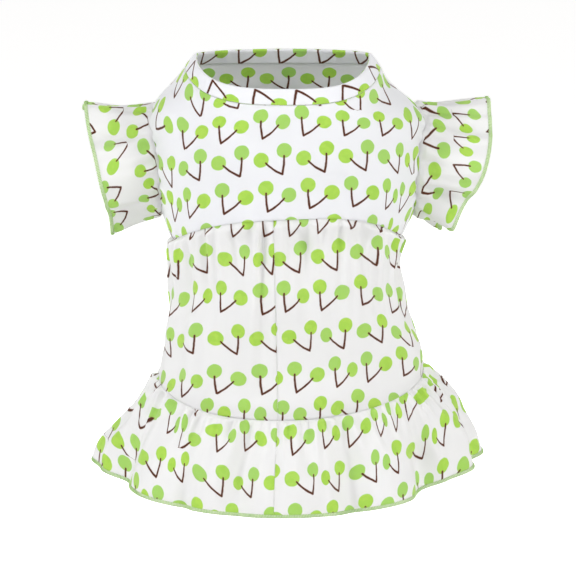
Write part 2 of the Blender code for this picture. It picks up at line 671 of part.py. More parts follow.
def main():
    """Builds every piece of the dress."""
    clear_scene()
    neck_seam = SeamLevel(0.0, NECK_BACK_RISE, NECK_CHEST_RISE, NECK_CORNER)
    yoke_seam = SeamLevel(
        -YOKE_LENGTH, YOKE_BACK_RISE, YOKE_CHEST_RISE, NECK_CORNER, sway=YOKE_SWAY
    )
    skirt_level = -YOKE_LENGTH - SKIRT_LENGTH
    skirt_seam = SeamLevel(
        skirt_level, SKIRT_BACK_RISE, SKIRT_CHEST_RISE, SKIRT_CORNER, SKIRT_TILT
    )
    hem_level = skirt_level - FLOUNCE_LENGTH
    hem = SeamLevel(hem_level, HEM_BACK_RISE, HEM_CHEST_RISE, SKIRT_CORNER, HEM_TILT, HEM_SWAY)

    yoke = Tier(YOKE_LENGTH, YOKE_SECTIONS, neck_seam, yoke_seam, wall=YOKE_WALL)
    skirt_folds = SKIRT_FOLDS + plain_folds(SKIRT_PLAIN_FOLD, SKIRT_PLAIN_PITCH)
    skirt = Tier(
        SKIRT_LENGTH, SKIRT_SECTIONS, yoke_seam, skirt_seam, skirt_folds, SKIRT_WALL, yoke
    )
    flounce_folds = FLOUNCE_FOLDS + plain_folds(FLOUNCE_PLAIN_FOLD, FLOUNCE_PLAIN_PITCH)
    flounce = Tier(
        FLOUNCE_LENGTH, FLOUNCE_SECTIONS, skirt_seam, hem, flounce_folds, FLOUNCE_WALL, skirt
    )

    cutters = [make_armhole_cutter("left_cutter", -1.0), make_armhole_cutter("right_cutter", 1.0)]
    chest_end = 360.0 - SIDE_SEAM_TURN
    make_yoke_piece("back_yoke", yoke, -SIDE_SEAM_TURN, SIDE_SEAM_TURN, YOKE_COLUMNS, cutters)
    chest_columns = round(YOKE_COLUMNS * (180.0 - SIDE_SEAM_TURN) / SIDE_SEAM_TURN)
    make_yoke_piece("chest_yoke", yoke, SIDE_SEAM_TURN, chest_end, chest_columns, cutters)
    make_neckband(yoke)

    for side_name, is_right in (("left", False), ("right", True)):
        make_panel(
            f"skirt_{side_name}", skirt, is_right, BACK_SEAM_TOP_TURN, BACK_SEAM_FOOT_TURN, 1.0
        )
        make_panel(
            f"flounce_{side_name}",
            flounce,
            is_right,
            BACK_SEAM_FOOT_TURN,
            BACK_SEAM_FOOT_TURN,
            edged_share(FLOUNCE_LENGTH),
        )
    hem_turns = np.linspace(-180.0, 180.0, 2 * PANEL_COLUMNS, endpoint=False)
    edging_ring(
        "hem_edging", flounce, hem_turns, edged_share(FLOUNCE_LENGTH), FLOUNCE_LENGTH, FLOUNCE_WALL
    )

    faces = yoke_outer_faces(yoke)
    cuff_turns = np.linspace(0.0, 360.0, ARMHOLE_COLUMNS, endpoint=False)
    for side_name, side, folds, cuff in (
        ("left", -1.0, LEFT_SLEEVE_FOLDS, LEFT_CUFF),
        ("right", 1.0, RIGHT_SLEEVE_FOLDS, RIGHT_CUFF),
    ):
        sleeve = Sleeve(side, folds, cuff, faces)
        length = SLEEVE_REACH - SHOULDER_WIDTH / 2
        last = edged_share(length)
        make_sleeve(f"sleeve_{side_name}", sleeve, last)
        edging_ring(f"cuff_edging_{side_name}", sleeve, cuff_turns, last, length, SLEEVE_WALL)


main()
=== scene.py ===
"""Looks of a gathered cotton dress for a small dog.

The yoke, neckband, sleeves, skirt and flounce are thin cloth with their gathers and flutes, printed
with a repeat of two-ball sprigs. Green thread is overlocked over the edges of the sleeves and hem.

Metres, +Z up. The dog's back faces -Y. Turns are degrees round the body: 0 at the middle of the
back, 90 at the right side, 180 at the chest. Shares run from 0 at the top of a tier to 1 at its foot.
"""

import logging
import math
from dataclasses import dataclass, field
from enum import Enum
from typing import Any, NamedTuple, Optional, Union

import bpy
import numpy as np
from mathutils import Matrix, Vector
from mathutils.bvhtree import BVHTree


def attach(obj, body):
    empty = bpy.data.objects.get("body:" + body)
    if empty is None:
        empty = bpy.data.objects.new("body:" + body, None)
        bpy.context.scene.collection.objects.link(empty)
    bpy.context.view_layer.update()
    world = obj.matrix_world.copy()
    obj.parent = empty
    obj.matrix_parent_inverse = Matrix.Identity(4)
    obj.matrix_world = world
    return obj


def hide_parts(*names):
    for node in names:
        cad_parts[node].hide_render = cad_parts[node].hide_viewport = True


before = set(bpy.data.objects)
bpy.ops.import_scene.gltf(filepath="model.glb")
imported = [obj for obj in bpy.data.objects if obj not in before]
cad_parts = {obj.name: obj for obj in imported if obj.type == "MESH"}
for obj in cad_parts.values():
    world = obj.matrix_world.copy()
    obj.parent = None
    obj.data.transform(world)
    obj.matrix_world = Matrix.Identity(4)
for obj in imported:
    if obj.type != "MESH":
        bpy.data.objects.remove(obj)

log = logging.getLogger("dress")

Array = np.ndarray

# Lengths down the sides
YOKE_LENGTH = 0.1025
SKIRT_LENGTH = 0.0845
FLOUNCE_LENGTH = 0.0540

# Whole widths and depths of the openings and seams
NECK_WIDTH = 0.1156
NECK_DEPTH = 0.0670
SHOULDER_WIDTH = 0.1640
CHEST_WIDTH = 0.1480
CHEST_DEPTH = 0.1050
WAIST_WIDTH = 0.1345
WAIST_DEPTH = 0.1080
SKIRT_WIDTH = 0.1590
SKIRT_DEPTH = 0.1150
HEM_WIDTH = 0.2260
HEM_DEPTH = 0.1530

# Seams and edges
SEAM_GAP = 0.0003
SEAM_LAP = 0.0050
TUCK_RUN = 0.0035
EDGING_WIDTH = 0.0025
SIDE_SEAM_TURN = 100.0
BACK_SEAM_TOP_TURN = -6.5
BACK_SEAM_FOOT_TURN = -4.0

# How square all rings run round the chest: 2 is an ellipse
CHEST_CORNER = 2.1

# Steps for the slopes that a normal is worked out from
TURN_STEP = 0.25
SHARE_STEP = 0.004
EDGE_STEP = 0.001

# How far from a seam its gathers and the cloth's unevenness take to set in
GATHER_FADE = 0.0025
CRUMPLE_FADE = 0.012

# Turns and shares that the tables of distances cover
FIRST_TURN = -200.0
LAST_TURN = 280.0
FIRST_SHARE = -0.06
LAST_SHARE = 1.30

# Bare ground kept clear of the rows where they shift against each other
BLANK_MARGIN = 0.0006

# Turns between which the print goes over from its measured places to a plain lay
PLAIN_LAY_FROM = 80.0
PLAIN_LAY_TO = 180.0


class Section(NamedTuple):
    """One level of a tier: half widths and depths as shares of a named size."""

    share: float
    width: float
    left: float
    right: float
    depth: float
    back: float
    chest: float
    corner: float


class Softbox(NamedTuple):
    """A square light: where it stands, its width, its power in watts and its colour."""

    name: str
    place: tuple
    size: float
    power: float
    colour: tuple


class Fold(NamedTuple):
    """A ridge, or a valley if its rise is negative, that grows from start to full and ends at end."""

    turn: float
    half_turn: float
    rise: float
    start: float
    full: float
    end: float


YOKE_SECTIONS = (
    Section(0.00, NECK_WIDTH, 1.042, 0.958, NECK_DEPTH, 0.716, 0.284, 3.0),
    Section(0.08, NECK_WIDTH, 1.142, 1.030, NECK_DEPTH, 0.732, 0.370, 2.9),
    Section(0.19, SHOULDER_WIDTH, 0.928, 0.876, CHEST_DEPTH, 0.474, 0.300, 2.6),
    Section(0.26, SHOULDER_WIDTH, 0.980, 0.965, CHEST_DEPTH, 0.478, 0.350, 2.4),
    Section(0.48, SHOULDER_WIDTH, 0.966, 0.978, CHEST_DEPTH, 0.486, 0.462, 2.3),
    Section(0.89, CHEST_WIDTH, 0.990, 0.995, CHEST_DEPTH, 0.490, 0.510, 2.4),
    Section(1.00, WAIST_WIDTH, 1.036, 1.024, WAIST_DEPTH, 0.482, 0.500, 2.6),
)
SKIRT_SECTIONS = (
    Section(0.00, WAIST_WIDTH, 1.036, 1.024, WAIST_DEPTH, 0.482, 0.500, 2.6),
    Section(0.17, WAIST_WIDTH, 1.036, 0.990, WAIST_DEPTH, 0.491, 0.505, 2.5),
    Section(0.47, WAIST_WIDTH, 1.048, 1.040, WAIST_DEPTH, 0.509, 0.515, 2.4),
    Section(0.77, SKIRT_WIDTH, 0.912, 0.985, SKIRT_DEPTH, 0.487, 0.496, 2.4),
    Section(1.00, SKIRT_WIDTH, 0.975, 1.035, SKIRT_DEPTH, 0.496, 0.504, 2.4),
)
FLOUNCE_SECTIONS = (
    Section(0.00, SKIRT_WIDTH, 0.975, 1.035, SKIRT_DEPTH, 0.496, 0.504, 2.4),
    Section(0.20, HEM_WIDTH, 0.770, 0.815, HEM_DEPTH, 0.412, 0.410, 2.3),
    Section(0.40, HEM_WIDTH, 0.855, 0.898, HEM_DEPTH, 0.444, 0.437, 2.2),
    Section(0.70, HEM_WIDTH, 0.945, 0.975, HEM_DEPTH, 0.484, 0.470, 2.1),
    Section(1.00, HEM_WIDTH, 0.985, 0.998, HEM_DEPTH, 0.510, 0.490, 2.1),
)
SKIRT_FOLDS = (
    Fold(-75, 9, -0.030, 0.00, 0.12, 0.55),
    Fold(-54, 8, -0.048, 0.00, 0.15, 0.95),
    Fold(-38, 8, -0.029, 0.00, 0.12, 0.60),
    Fold(-24, 7, -0.023, 0.00, 0.10, 0.50),
    Fold(-12, 6, -0.054, 0.00, 0.15, 1.20),
    Fold(10, 7, -0.044, 0.00, 0.15, 0.75),
    Fold(28, 8, -0.040, 0.00, 0.12, 0.60),
    Fold(43, 8, -0.032, 0.00, 0.12, 0.65),
    Fold(59, 8, -0.036, 0.00, 0.12, 0.80),
    Fold(77, 8, -0.030, 0.00, 0.12, 0.60),
    Fold(1, 30, 0.024, 0.00, 0.60, 1.60),
    Fold(-48, 26, 0.032, 0.10, 0.60, 1.50),
    Fold(52, 26, 0.030, 0.10, 0.60, 1.50),
)
FLOUNCE_FOLDS = (
    Fold(-92, 11.7, 0.122, 0.10, 1.00, 2.00),
    Fold(-66, 14.4, -0.163, 0.05, 0.85, 2.00),
    Fold(-44, 10.8, 0.098, 0.15, 1.00, 2.00),
    Fold(-33, 4.5, -0.073, 0.30, 1.00, 2.00),
    Fold(-16, 7.5, -0.150, 0.00, 0.60, 1.80),
    Fold(2, 9.9, 0.073, 0.00, 0.60, 1.80),
    Fold(20, 7.5, -0.180, 0.00, 0.60, 1.80),
    Fold(34, 9.9, 0.098, 0.10, 0.80, 2.00),
    Fold(48, 9.0, -0.215, 0.05, 0.75, 1.90),
    Fold(68, 10.8, 0.098, 0.10, 0.90, 2.00),
    Fold(86, 10.8, 0.130, 0.10, 1.00, 2.00),
    Fold(101, 8.1, -0.195, 0.10, 0.95, 2.00),
)
PLAIN_FROM_TURN = 112.0
PLAIN_TO_TURN = 250.0
SKIRT_PLAIN_PITCH = 17.0
SKIRT_PLAIN_FOLD = Fold(0, 7, -0.020, 0.00, 0.12, 0.60)
FLOUNCE_PLAIN_PITCH = 26.0
FLOUNCE_PLAIN_FOLD = Fold(0, 11, -0.090, 0.05, 0.90, 2.00)


def through(shares: Any, values: Any, at: Any) -> Array:
    """Works out a smooth line through some values, straight on past both ends.

    Args:
        shares: Where the values stand, rising.
        values: The values.
        at: Where to read the line.

    Returns:
        The line at those places.
    """
    shares = np.asarray(shares, float)
    values = np.asarray(values, float)
    slopes = np.gradient(values, shares)
    span = np.clip(np.searchsorted(shares, at, side="right") - 1, 0, len(shares) - 2)
    width = shares[span + 1] - shares[span]
    inside = np.clip(at, shares[0], shares[-1])
    t = (inside - shares[span]) / width
    line = (
        values[span] * (2 * t**3 - 3 * t**2 + 1)
        + slopes[span] * width * (t**3 - 2 * t**2 + t)
        + values[span + 1] * (3 * t**2 - 2 * t**3)
        + slopes[span + 1] * width * (t**3 - t**2)
    )
    end_slope = np.where(at < shares[0], slopes[0], slopes[-1])
    return line + (at - inside) * end_slope


def eased(t: Any) -> Array:
    """Returns 0 below 0, 1 above 1, and a smooth rise between."""
    t = np.clip(t, 0.0, 1.0)
    return t * t * (3 - 2 * t)


def unit(directions: Array) -> Array:
    """Returns directions at length 1."""
    return directions / np.linalg.norm(directions, axis=-1, keepdims=True)


def ring_direction(turn: Array, back_corner: Any) -> tuple[Array, Array]:
    """Returns how far across and how far to the back a turn points, on a rounded ring."""
    sine = np.sin(np.radians(turn))
    cosine = np.cos(np.radians(turn))
    corner = np.where(cosine > 0, back_corner, CHEST_CORNER)
    reach = (np.abs(sine) ** corner + np.abs(cosine) ** corner) ** (-1.0 / corner)
    return sine * reach, cosine * reach


def turn_apart(a: Any, b: Any) -> Array:
    """Returns the signed turn from b to a, between -180 and 180 degrees."""
    return (a - b + 180.0) % 360.0 - 180.0


def fold_relief(folds: tuple, turn: Array, share: Array) -> Array:
    """Adds up how far folds lift the cloth.

    Args:
        folds: The folds.
        turn: Turns in degrees.
        share: Shares down the tier.

    Returns:
        The lift, as a share of the length that the folds' rises refer to.
    """
    lift = np.zeros(np.broadcast(turn, share).shape)
    for fold in folds:
        across = np.clip(turn_apart(turn, fold.turn) / fold.half_turn, -1, 1)
        grown = eased((share - fold.start) / (fold.full - fold.start))
        gone = eased((share - fold.full) / (fold.end - fold.full))
        lift = lift + fold.rise * (0.5 + 0.5 * np.cos(np.pi * across)) * grown * (1 - gone)
    return lift


def plain_folds(pattern: Fold, pitch: float) -> tuple:
    """Returns even folds over the chest side, each a copy of the pattern at its own turn."""
    count = int((PLAIN_TO_TURN - PLAIN_FROM_TURN) // pitch) + 1
    return tuple(pattern._replace(turn=PLAIN_FROM_TURN + i * pitch) for i in range(count))


@dataclass(frozen=True)
class Gathers:
    """Small uneven ridges where cloth is drawn up on a seam, fading away from it."""

    pitch: float
    rise: float
    run: float
    seed: int
    span: tuple = (-200.0, 200.0)
    taper: float = 1.4
    sink: float = 0.3

    def relief(self, turn: Array, radius: float, away: Array) -> Array:
        """Works out the lift of the gathers.

        Args:
            turn: Turns in degrees.
            radius: The ring's mean radius in metres, which turns the pitch into degrees.
            away: Distance from the seam in metres.

        Returns:
            The lift in metres.
        """
        draw = np.random.RandomState(self.seed)
        step = math.degrees(self.pitch / radius)
        lift = np.zeros(np.broadcast(turn, away).shape)
        at = self.span[0]
        while at < self.span[1]:
            half = step * draw.uniform(0.45, 0.85)
            height = self.rise * draw.uniform(0.35, 1.0)
            run = self.run * draw.uniform(0.45, 1.25)
            lean = draw.uniform(-0.15, 0.15) * step / self.run
            middle = at + draw.uniform(-0.25, 0.25) * step + lean * away
            across = np.clip(np.abs(turn_apart(turn, middle)) / half, 0, 1)
            fade = eased(away / GATHER_FADE) * np.exp(-((away / run) ** self.taper))
            lift = lift + height * (0.5 + 0.5 * np.cos(np.pi * across)) * fade
            at += step * draw.uniform(0.75, 1.25)
        sunk = self.rise * self.sink * eased(away / GATHER_FADE)
        return lift - sunk * np.exp(-((away / self.run) ** self.taper))


@dataclass(frozen=True)
class Crumple:
    """Soft, low unevenness of worn cotton, as a sum of slanted waves."""

    rise: float
    length: float
    seed: int
    waves: int = 9

    def relief(self, across: Array, down: Array) -> Array:
        """Returns the lift in metres at places given in metres across and down the cloth."""
        draw = np.random.RandomState(self.seed)
        lift = np.zeros(np.broadcast(across, down).shape)
        for _ in range(self.waves):
            length = self.length * draw.uniform(0.55, 1.7)
            slant = draw.uniform(-math.pi, math.pi)
            phase = draw.uniform(0, 2 * math.pi)
            along = across * math.cos(slant) + down * math.sin(slant) * 0.6
            lift = lift + np.sin(along * 2 * math.pi / length + phase) * length / self.length
        return lift * self.rise / self.waves


@dataclass(frozen=True)
class SeamLevel:
    """The height of a seam or hem round the body."""

    side: float
    back_rise: float
    chest_rise: float
    corner: float
    tilt: float = 0.0
    sway: float = 0.0

    def height(self, turn: Array) -> Array:
        """Returns the level of the seam at a turn, in metres."""
        across, back = ring_direction(turn, self.corner)
        rise = np.where(back > 0, self.back_rise, self.chest_rise) * back**2
        return self.side + rise + self.tilt * across + self.sway * across * back


@dataclass
class Tier:
    """A length of the dress between two seams, which may be gathered into a tier above it."""

    length: float
    sections: tuple
    top: SeamLevel
    foot: SeamLevel
    folds: tuple = ()
    carrier: Optional["Tier"] = None
    tuck: float = 0.0
    gathers: Optional[Gathers] = None
    crumple: Optional[Crumple] = None
    radius: float = 0.065
    loose_foot: float = 0.0

    def column(self, half: float, name: str, share: Array) -> Array:
        """Reads one size of the sections.

        Args:
            half: The factor from a whole width to a half one.
            name: The section's column.
            share: Shares down the tier.

        Returns:
            The size in metres.
        """
        of = "width" if name in ("left", "right") else "depth"
        values = [getattr(s, of) * half * getattr(s, name) for s in self.sections]
        return through([s.share for s in self.sections], values, share)

    def base(self, turn: Array, share: Array) -> Array:
        """Returns the smooth outer face before folds."""
        corner = through([s.share for s in self.sections], [s.corner for s in self.sections], share)
        across, back = ring_direction(turn, corner)
        right = self.column(0.5, "right", share)
        left = self.column(0.5, "left", share)
        to_back = self.column(1.0, "back", share)
        to_chest = self.column(1.0, "chest", share)
        half_width = np.where(across > 0, right, left)
        reach = np.where(back > 0, to_back, to_chest)
        height = (1 - share) * self.top.height(turn) + share * self.foot.height(turn)
        return np.stack([half_width * across, -reach * back, height], axis=-1)

    def relief(self, turn: Array, share: Array) -> Array:
        """Returns how far the folds alone lift the cloth off its smooth face, in metres."""
        lift = self.length * fold_relief(self.folds, turn, share)
        if self.carrier:
            run = TUCK_RUN / self.length
            lift = lift - self.tuck * (1 - eased(share / run))
            lift = lift + self.carrier.relief(turn, np.ones_like(share)) * (1 - eased(share))
        return lift

    def facing(self, turn: Array, share: Array) -> Array:
        """Returns the outward direction of the smooth face."""
        along = self.base(turn + TURN_STEP, share) - self.base(turn - TURN_STEP, share)
        down = self.base(turn, share + SHARE_STEP) - self.base(turn, share - SHARE_STEP)
        return unit(np.cross(down, along))

    def fine_relief(self, turn: Array, share: Array) -> Array:
        """Returns the lift of small gathers and unevenness, in metres."""
        away = np.clip(share, 0, None) * self.length
        lift = np.zeros(np.broadcast(turn, share).shape)
        if self.gathers:
            lift = lift + self.gathers.relief(turn, self.radius, away)
        if self.crumple:
            across = np.radians(turn) * self.radius
            left = np.clip(1 - share, 0, 1) * self.length
            at_foot = self.loose_foot + (1 - self.loose_foot) * eased(left / CRUMPLE_FADE)
            lift = lift + self.crumple.relief(across, away) * eased(away / CRUMPLE_FADE) * at_foot
        return lift

    def outer(self, turn: Array, share: Array) -> Array:
        """Returns points of the outer face, with its folds and fine relief."""
        lift = self.relief(turn, share) + self.fine_relief(turn, share)
        return self.base(turn, share) + self.facing(turn, share) * lift[..., None]


def plain_part(turn: Array) -> Array:
    """Returns how far the print is laid plainly at a turn: 0 over the back and 1 over the chest."""
    return eased((np.abs(turn) - PLAIN_LAY_FROM) / (PLAIN_LAY_TO - PLAIN_LAY_FROM))


class ArcTable:
    """Distances over the smooth face of a tier, round from the middle of the back and down."""

    def __init__(self, tier: Tier) -> None:
        """Measures the tier on an even grid of turns and shares."""
        self.turns = np.arange(FIRST_TURN, LAST_TURN + 1.0)
        self.shares = np.linspace(FIRST_SHARE, LAST_SHARE, 69)
        turn, share = np.meshgrid(self.turns, self.shares)
        points = tier.base(turn, share)
        self.round = np.zeros(turn.shape)
        self.round[:, 1:] = np.cumsum(np.linalg.norm(np.diff(points, axis=1), axis=-1), axis=1)
        middle = int(np.argmin(np.abs(self.turns)))
        self.round -= self.round[:, middle : middle + 1]
        self.drop = np.zeros(turn.shape)
        self.drop[1:] = np.cumsum(np.linalg.norm(np.diff(points, axis=0), axis=-1), axis=0)
        top = int(np.argmin(np.abs(self.shares)))
        self.drop -= self.drop[top : top + 1]

    def read(self, table: Array, turn: Array, share: Array) -> Array:
        """Reads a table between its grid points.

        Args:
            table: self.round or self.drop.
            turn: Turns in degrees.
            share: Shares down the tier.

        Returns:
            The distances in metres.
        """
        column = np.clip(turn - self.turns[0], 0, len(self.turns) - 1.001)
        step = self.shares[1] - self.shares[0]
        row = np.clip((share - self.shares[0]) / step, 0, len(self.shares) - 1.001)
        c = column.astype(int)
        r = row.astype(int)
        x = column - c
        y = row - r
        upper = table[r, c] * (1 - x) + table[r, c + 1] * x
        lower = table[r + 1, c] * (1 - x) + table[r + 1, c + 1] * x
        return upper * (1 - y) + lower * y

    def measure(self, turn: Array, share: Array) -> tuple[Array, Array]:
        """Works out places on a panel from the back to the chest.

        Args:
            turn: Turns in degrees.
            share: Shares down the tier.

        Returns:
            The distances round from the middle of the back, evened out towards the chest so that
            the print stands upright there, and the distances up from the top seam.
        """
        around = self.read(self.round, turn, share)
        chest = np.sign(turn) * 180.0
        spare = self.read(self.round, chest, share * 0 + 0.5) - self.read(self.round, chest, share)
        return around + spare * plain_part(turn), -self.read(self.drop, turn, share)


class Sprigs(NamedTuple):
    """One printed row on a panel: its level, which rises upwards, and its sprigs' places.

    Each place is the turn and share where a sprig's stems meet, and the sprig's column.
    """

    level: int
    places: tuple


@dataclass(frozen=True)
class PlainLay:
    """Flat print shifted to a start, turned upside down by a sense of -1 and drawn out by a stretch."""

    across_start: float = 0.0
    up_start: float = 0.0
    sense: float = 1.0
    stretch: float = 1.0

    def place(self, across: Array, up: Array) -> Array:
        """Returns places on the flat print for distances across and up a piece, in metres."""
        u = across * self.sense / self.stretch + self.across_start
        v = up * self.sense + self.up_start
        return np.stack([u, v], axis=-1)


@dataclass(frozen=True)
class RowLay:
    """Print pinned to a panel row by row.

    Cloth that the gathers take in lies between the sprigs of a row, and rows shift against each
    other in the blank band between them. With a plain chest, the rows even out past the sides.
    """

    rows: tuple
    plain_chest: bool = False

    def place(self, measure: Any, turn: Array, share: Array) -> Array:
        """Works out places on the flat print.

        Args:
            measure: Gives the distances across and up the panel, in metres, at turns and shares.
            turn: Turns in degrees.
            share: Shares down the panel.

        Returns:
            Places on the flat print, in metres.
        """
        pitch = Sprig.pitch
        rise = Sprig.row_pitch
        top = Sprig.tall_up + Sprig.ball + BLANK_MARGIN
        bottom = rise - Sprig.stem_half - BLANK_MARGIN
        across, up = measure(turn, share)
        pins = []
        for row in sorted(self.rows, key=lambda r: r.level):
            turns, shares, columns = (np.array(c, float) for c in zip(*sorted(row.places)))
            pin_across, pin_up = measure(turns, shares)
            shift = Sprig.row_shift if row.level % 2 else 0.0
            off_across = columns * pitch + shift - pin_across
            pins.append((row.level, turns, off_across, row.level * rise - pin_up))
        kept = 1 - plain_part(turn) if self.plain_chest else 1.0
        last = 0 if np.mean(turn) < 0 else -1
        rest_across = np.mean([pin[2][last] for pin in pins])
        rest_up = np.mean([pin[3][last] for pin in pins])
        u = v = None
        for level, turns, off_across, off_up in pins:
            row_u = across + rest_across + (self.between(turns, off_across, turn) - rest_across) * kept
            row_v = up + rest_up + (self.between(turns, off_up, turn) - rest_up) * kept
            if u is None:
                u, v = row_u, row_v
                continue
            below = (level - 1) * rise
            past = np.maximum(v - (below + top), 0.0)
            short = np.maximum(below + bottom - row_v, 0.0)
            share_up = np.where(past > 0, past / np.maximum(past + short, 1e-9), 0.0)
            crossing = (share_up > 0) & (share_up < 1)
            v = np.where(crossing, below + top + share_up * (bottom - top), np.where(share_up < 1, v, row_v))
            u = u + (row_u - u) * share_up
        return np.stack([u, v], axis=-1)

    def between(self, turns: Array, values: Array, at: Array) -> Array:
        """Returns a smooth line through the values, level beyond both ends."""
        if len(turns) < 2:
            return np.full(np.shape(at), values[0])
        return through(turns, values, np.clip(at, turns[0], turns[-1]))


def grid_normals(points: Array, closed: bool) -> Array:
    """Works out directions square to a grid of points.

    Args:
        points: Rows by columns of points.
        closed: Whether the last column meets the first.

    Returns:
        Unit directions, all to the same side of the grid.
    """
    down = np.gradient(points, axis=0)
    if closed:
        along = (np.roll(points, -1, axis=1) - np.roll(points, 1, axis=1)) / 2
    else:
        along = np.gradient(points, axis=1)
    normal = np.cross(down, along)
    return normal / np.maximum(np.linalg.norm(normal, axis=-1, keepdims=True), 1e-12)


@dataclass
class ClothShell:
    """A closed thin piece of cloth between an outer and an inner grid of points."""

    outer: Array
    inner: Array
    flat: Array
    flat_inner: Array
    closed: bool = False

    def build(self, name: str, material: bpy.types.Material) -> bpy.types.Object:
        """Makes the piece.

        Args:
            name: The object's name.
            material: Its finish.

        Returns:
            The object, whose UV map holds places on the flat cloth in metres.
        """
        rows, columns = self.outer.shape[:2]
        spans = columns if self.closed else columns - 1
        front, row, col = grid_quads(rows, columns, rows - 1, spans)
        offset = rows * columns
        faces = [front, front[:, ::-1] + offset]
        flats = [self.flat[row, col], self.flat_inner[row[:, ::-1], col[:, ::-1]]]
        for edge_row, flip in ((0, False), (rows - 1, True)):
            a = np.arange(spans)
            b = a + 1
            near = edge_row * columns + a
            far = edge_row * columns + b % columns
            quad = np.stack([near, far, far + offset, near + offset], axis=-1)
            uv = self.flat[edge_row][np.stack([a, b, b, a], axis=-1)]
            faces.append(quad[:, ::-1] if flip else quad)
            flats.append(uv[:, ::-1] if flip else uv)
        if not self.closed:
            for edge_col, flip in ((0, True), (columns - 1, False)):
                a = np.arange(rows - 1)
                b = a + 1
                near = a * columns + edge_col
                far = b * columns + edge_col
                quad = np.stack([near, far, far + offset, near + offset], axis=-1)
                uv = self.flat[:, edge_col][np.stack([a, b, b, a], axis=-1)]
                faces.append(quad[:, ::-1] if flip else quad)
                flats.append(uv[:, ::-1] if flip else uv)
        points = np.concatenate([self.outer.reshape(-1, 3), self.inner.reshape(-1, 3)])
        return mesh_object(name, points, np.concatenate(faces), np.concatenate(flats), [material])


def grid_quads(rows: int, columns: int, row_spans: int, column_spans: int) -> tuple[Array, Array, Array]:
    """Works out the faces of a grid of points, which wrap past its last row or column.

    Args:
        rows: The grid's rows.
        columns: The grid's columns.
        row_spans: Faces down.
        column_spans: Faces across.

    Returns:
        The faces, and the row and the column of each of their corners before they wrap.
    """
    r, c = np.meshgrid(np.arange(row_spans), np.arange(column_spans), indexing="ij")
    row = np.stack([r, r + 1, r + 1, r], axis=-1).reshape(-1, 4)
    col = np.stack([c, c, c + 1, c + 1], axis=-1).reshape(-1, 4)
    return row % rows * columns + col % columns, row, col


def mesh_object(
    name: str, points: Array, quads: Array, flat: Optional[Array], materials: list
) -> bpy.types.Object:
    """Makes a smooth mesh object whose faces point outwards.

    Args:
        name: The object's name.
        points: Its points.
        quads: Its faces, four points each.
        flat: A place on the flat cloth for each corner of each face, or nothing.
        materials: Its materials.

    Returns:
        The object, linked to the scene.
    """
    a, b, c, d = (points[quads[:, i]] for i in range(4))
    volume = np.einsum("ij,ij->i", a, np.cross(b, c)).sum()
    volume += np.einsum("ij,ij->i", a, np.cross(c, d)).sum()
    if volume < 0:
        quads = quads[:, ::-1]
        flat = None if flat is None else flat[:, ::-1]
    mesh = bpy.data.meshes.new(name)
    mesh.vertices.add(len(points))
    mesh.vertices.foreach_set("co", points.astype(np.float32).ravel())
    mesh.loops.add(quads.size)
    mesh.loops.foreach_set("vertex_index", quads.astype(np.int32).ravel())
    mesh.polygons.add(len(quads))
    mesh.polygons.foreach_set("loop_start", np.arange(0, quads.size, 4, dtype=np.int32))
    if flat is not None:
        layer = mesh.uv_layers.new(name="cloth")
        layer.data.foreach_set("uv", flat.astype(np.float32).ravel())
    for material in materials:
        mesh.materials.append(material)
    mesh.update(calc_edges=True)
    mesh.validate()
    mesh.shade_smooth()
    body = bpy.data.objects.new(name, mesh)
    bpy.context.scene.collection.objects.link(body)
    return body


def operator(operation: str, swapped: bool = False) -> Any:
    """Makes the method behind one arithmetic sign of a shader value.

    Args:
        operation: The Math node's operation.
        swapped: Whether the value stands to the right of the sign.

    Returns:
        The method, which adds a Math node and returns its result.
    """

    def method(self: "Socket", other: Any) -> "Socket":
        """Returns the result of the operation on both values."""
        pair = (other, self) if swapped else (self, other)
        return self.graph.maths(operation, *pair)

    return method


class Socket:
    """A shader value that takes part in Python arithmetic by adding Math nodes."""

    __add__ = operator("ADD")
    __radd__ = operator("ADD", True)
    __sub__ = operator("SUBTRACT")
    __rsub__ = operator("SUBTRACT", True)
    __mul__ = operator("MULTIPLY")
    __rmul__ = operator("MULTIPLY", True)
    __truediv__ = operator("DIVIDE")
    least = operator("MINIMUM")
    most = operator("MAXIMUM")

    def __init__(self, graph: "Graph", link: Any) -> None:
        """Wraps a node's output."""
        self.graph = graph
        self.link = link

    def floor(self) -> "Socket":
        """Returns the whole number below."""
        return self.graph.maths("FLOOR", self)

    def sine(self) -> "Socket":
        """Returns the sine of the value in radians."""
        return self.graph.maths("SINE", self)

    def root(self) -> "Socket":
        """Returns the square root."""
        return self.graph.maths("SQRT", self)

    def step(self, start: Any, end: Any) -> "Socket":
        """Returns 0 at the start and 1 at the end, with a smooth rise between."""
        return self.graph.add(
            "ShaderNodeMapRange",
            {"interpolation_type": "SMOOTHSTEP"},
            {"Value": self, "From Min": start, "From Max": end, "To Min": 0.0, "To Max": 1.0},
        )["Result"]


class Outputs:
    """The outputs of a node, by name, as wrapped sockets."""

    def __init__(self, graph: "Graph", node: Any) -> None:
        """Keeps the node."""
        self.graph = graph
        self.node = node

    def __getitem__(self, name: str) -> Socket:
        """Returns one output."""
        found = [o for o in self.node.outputs if o.name == name and o.enabled]
        return Socket(self.graph, found[0])


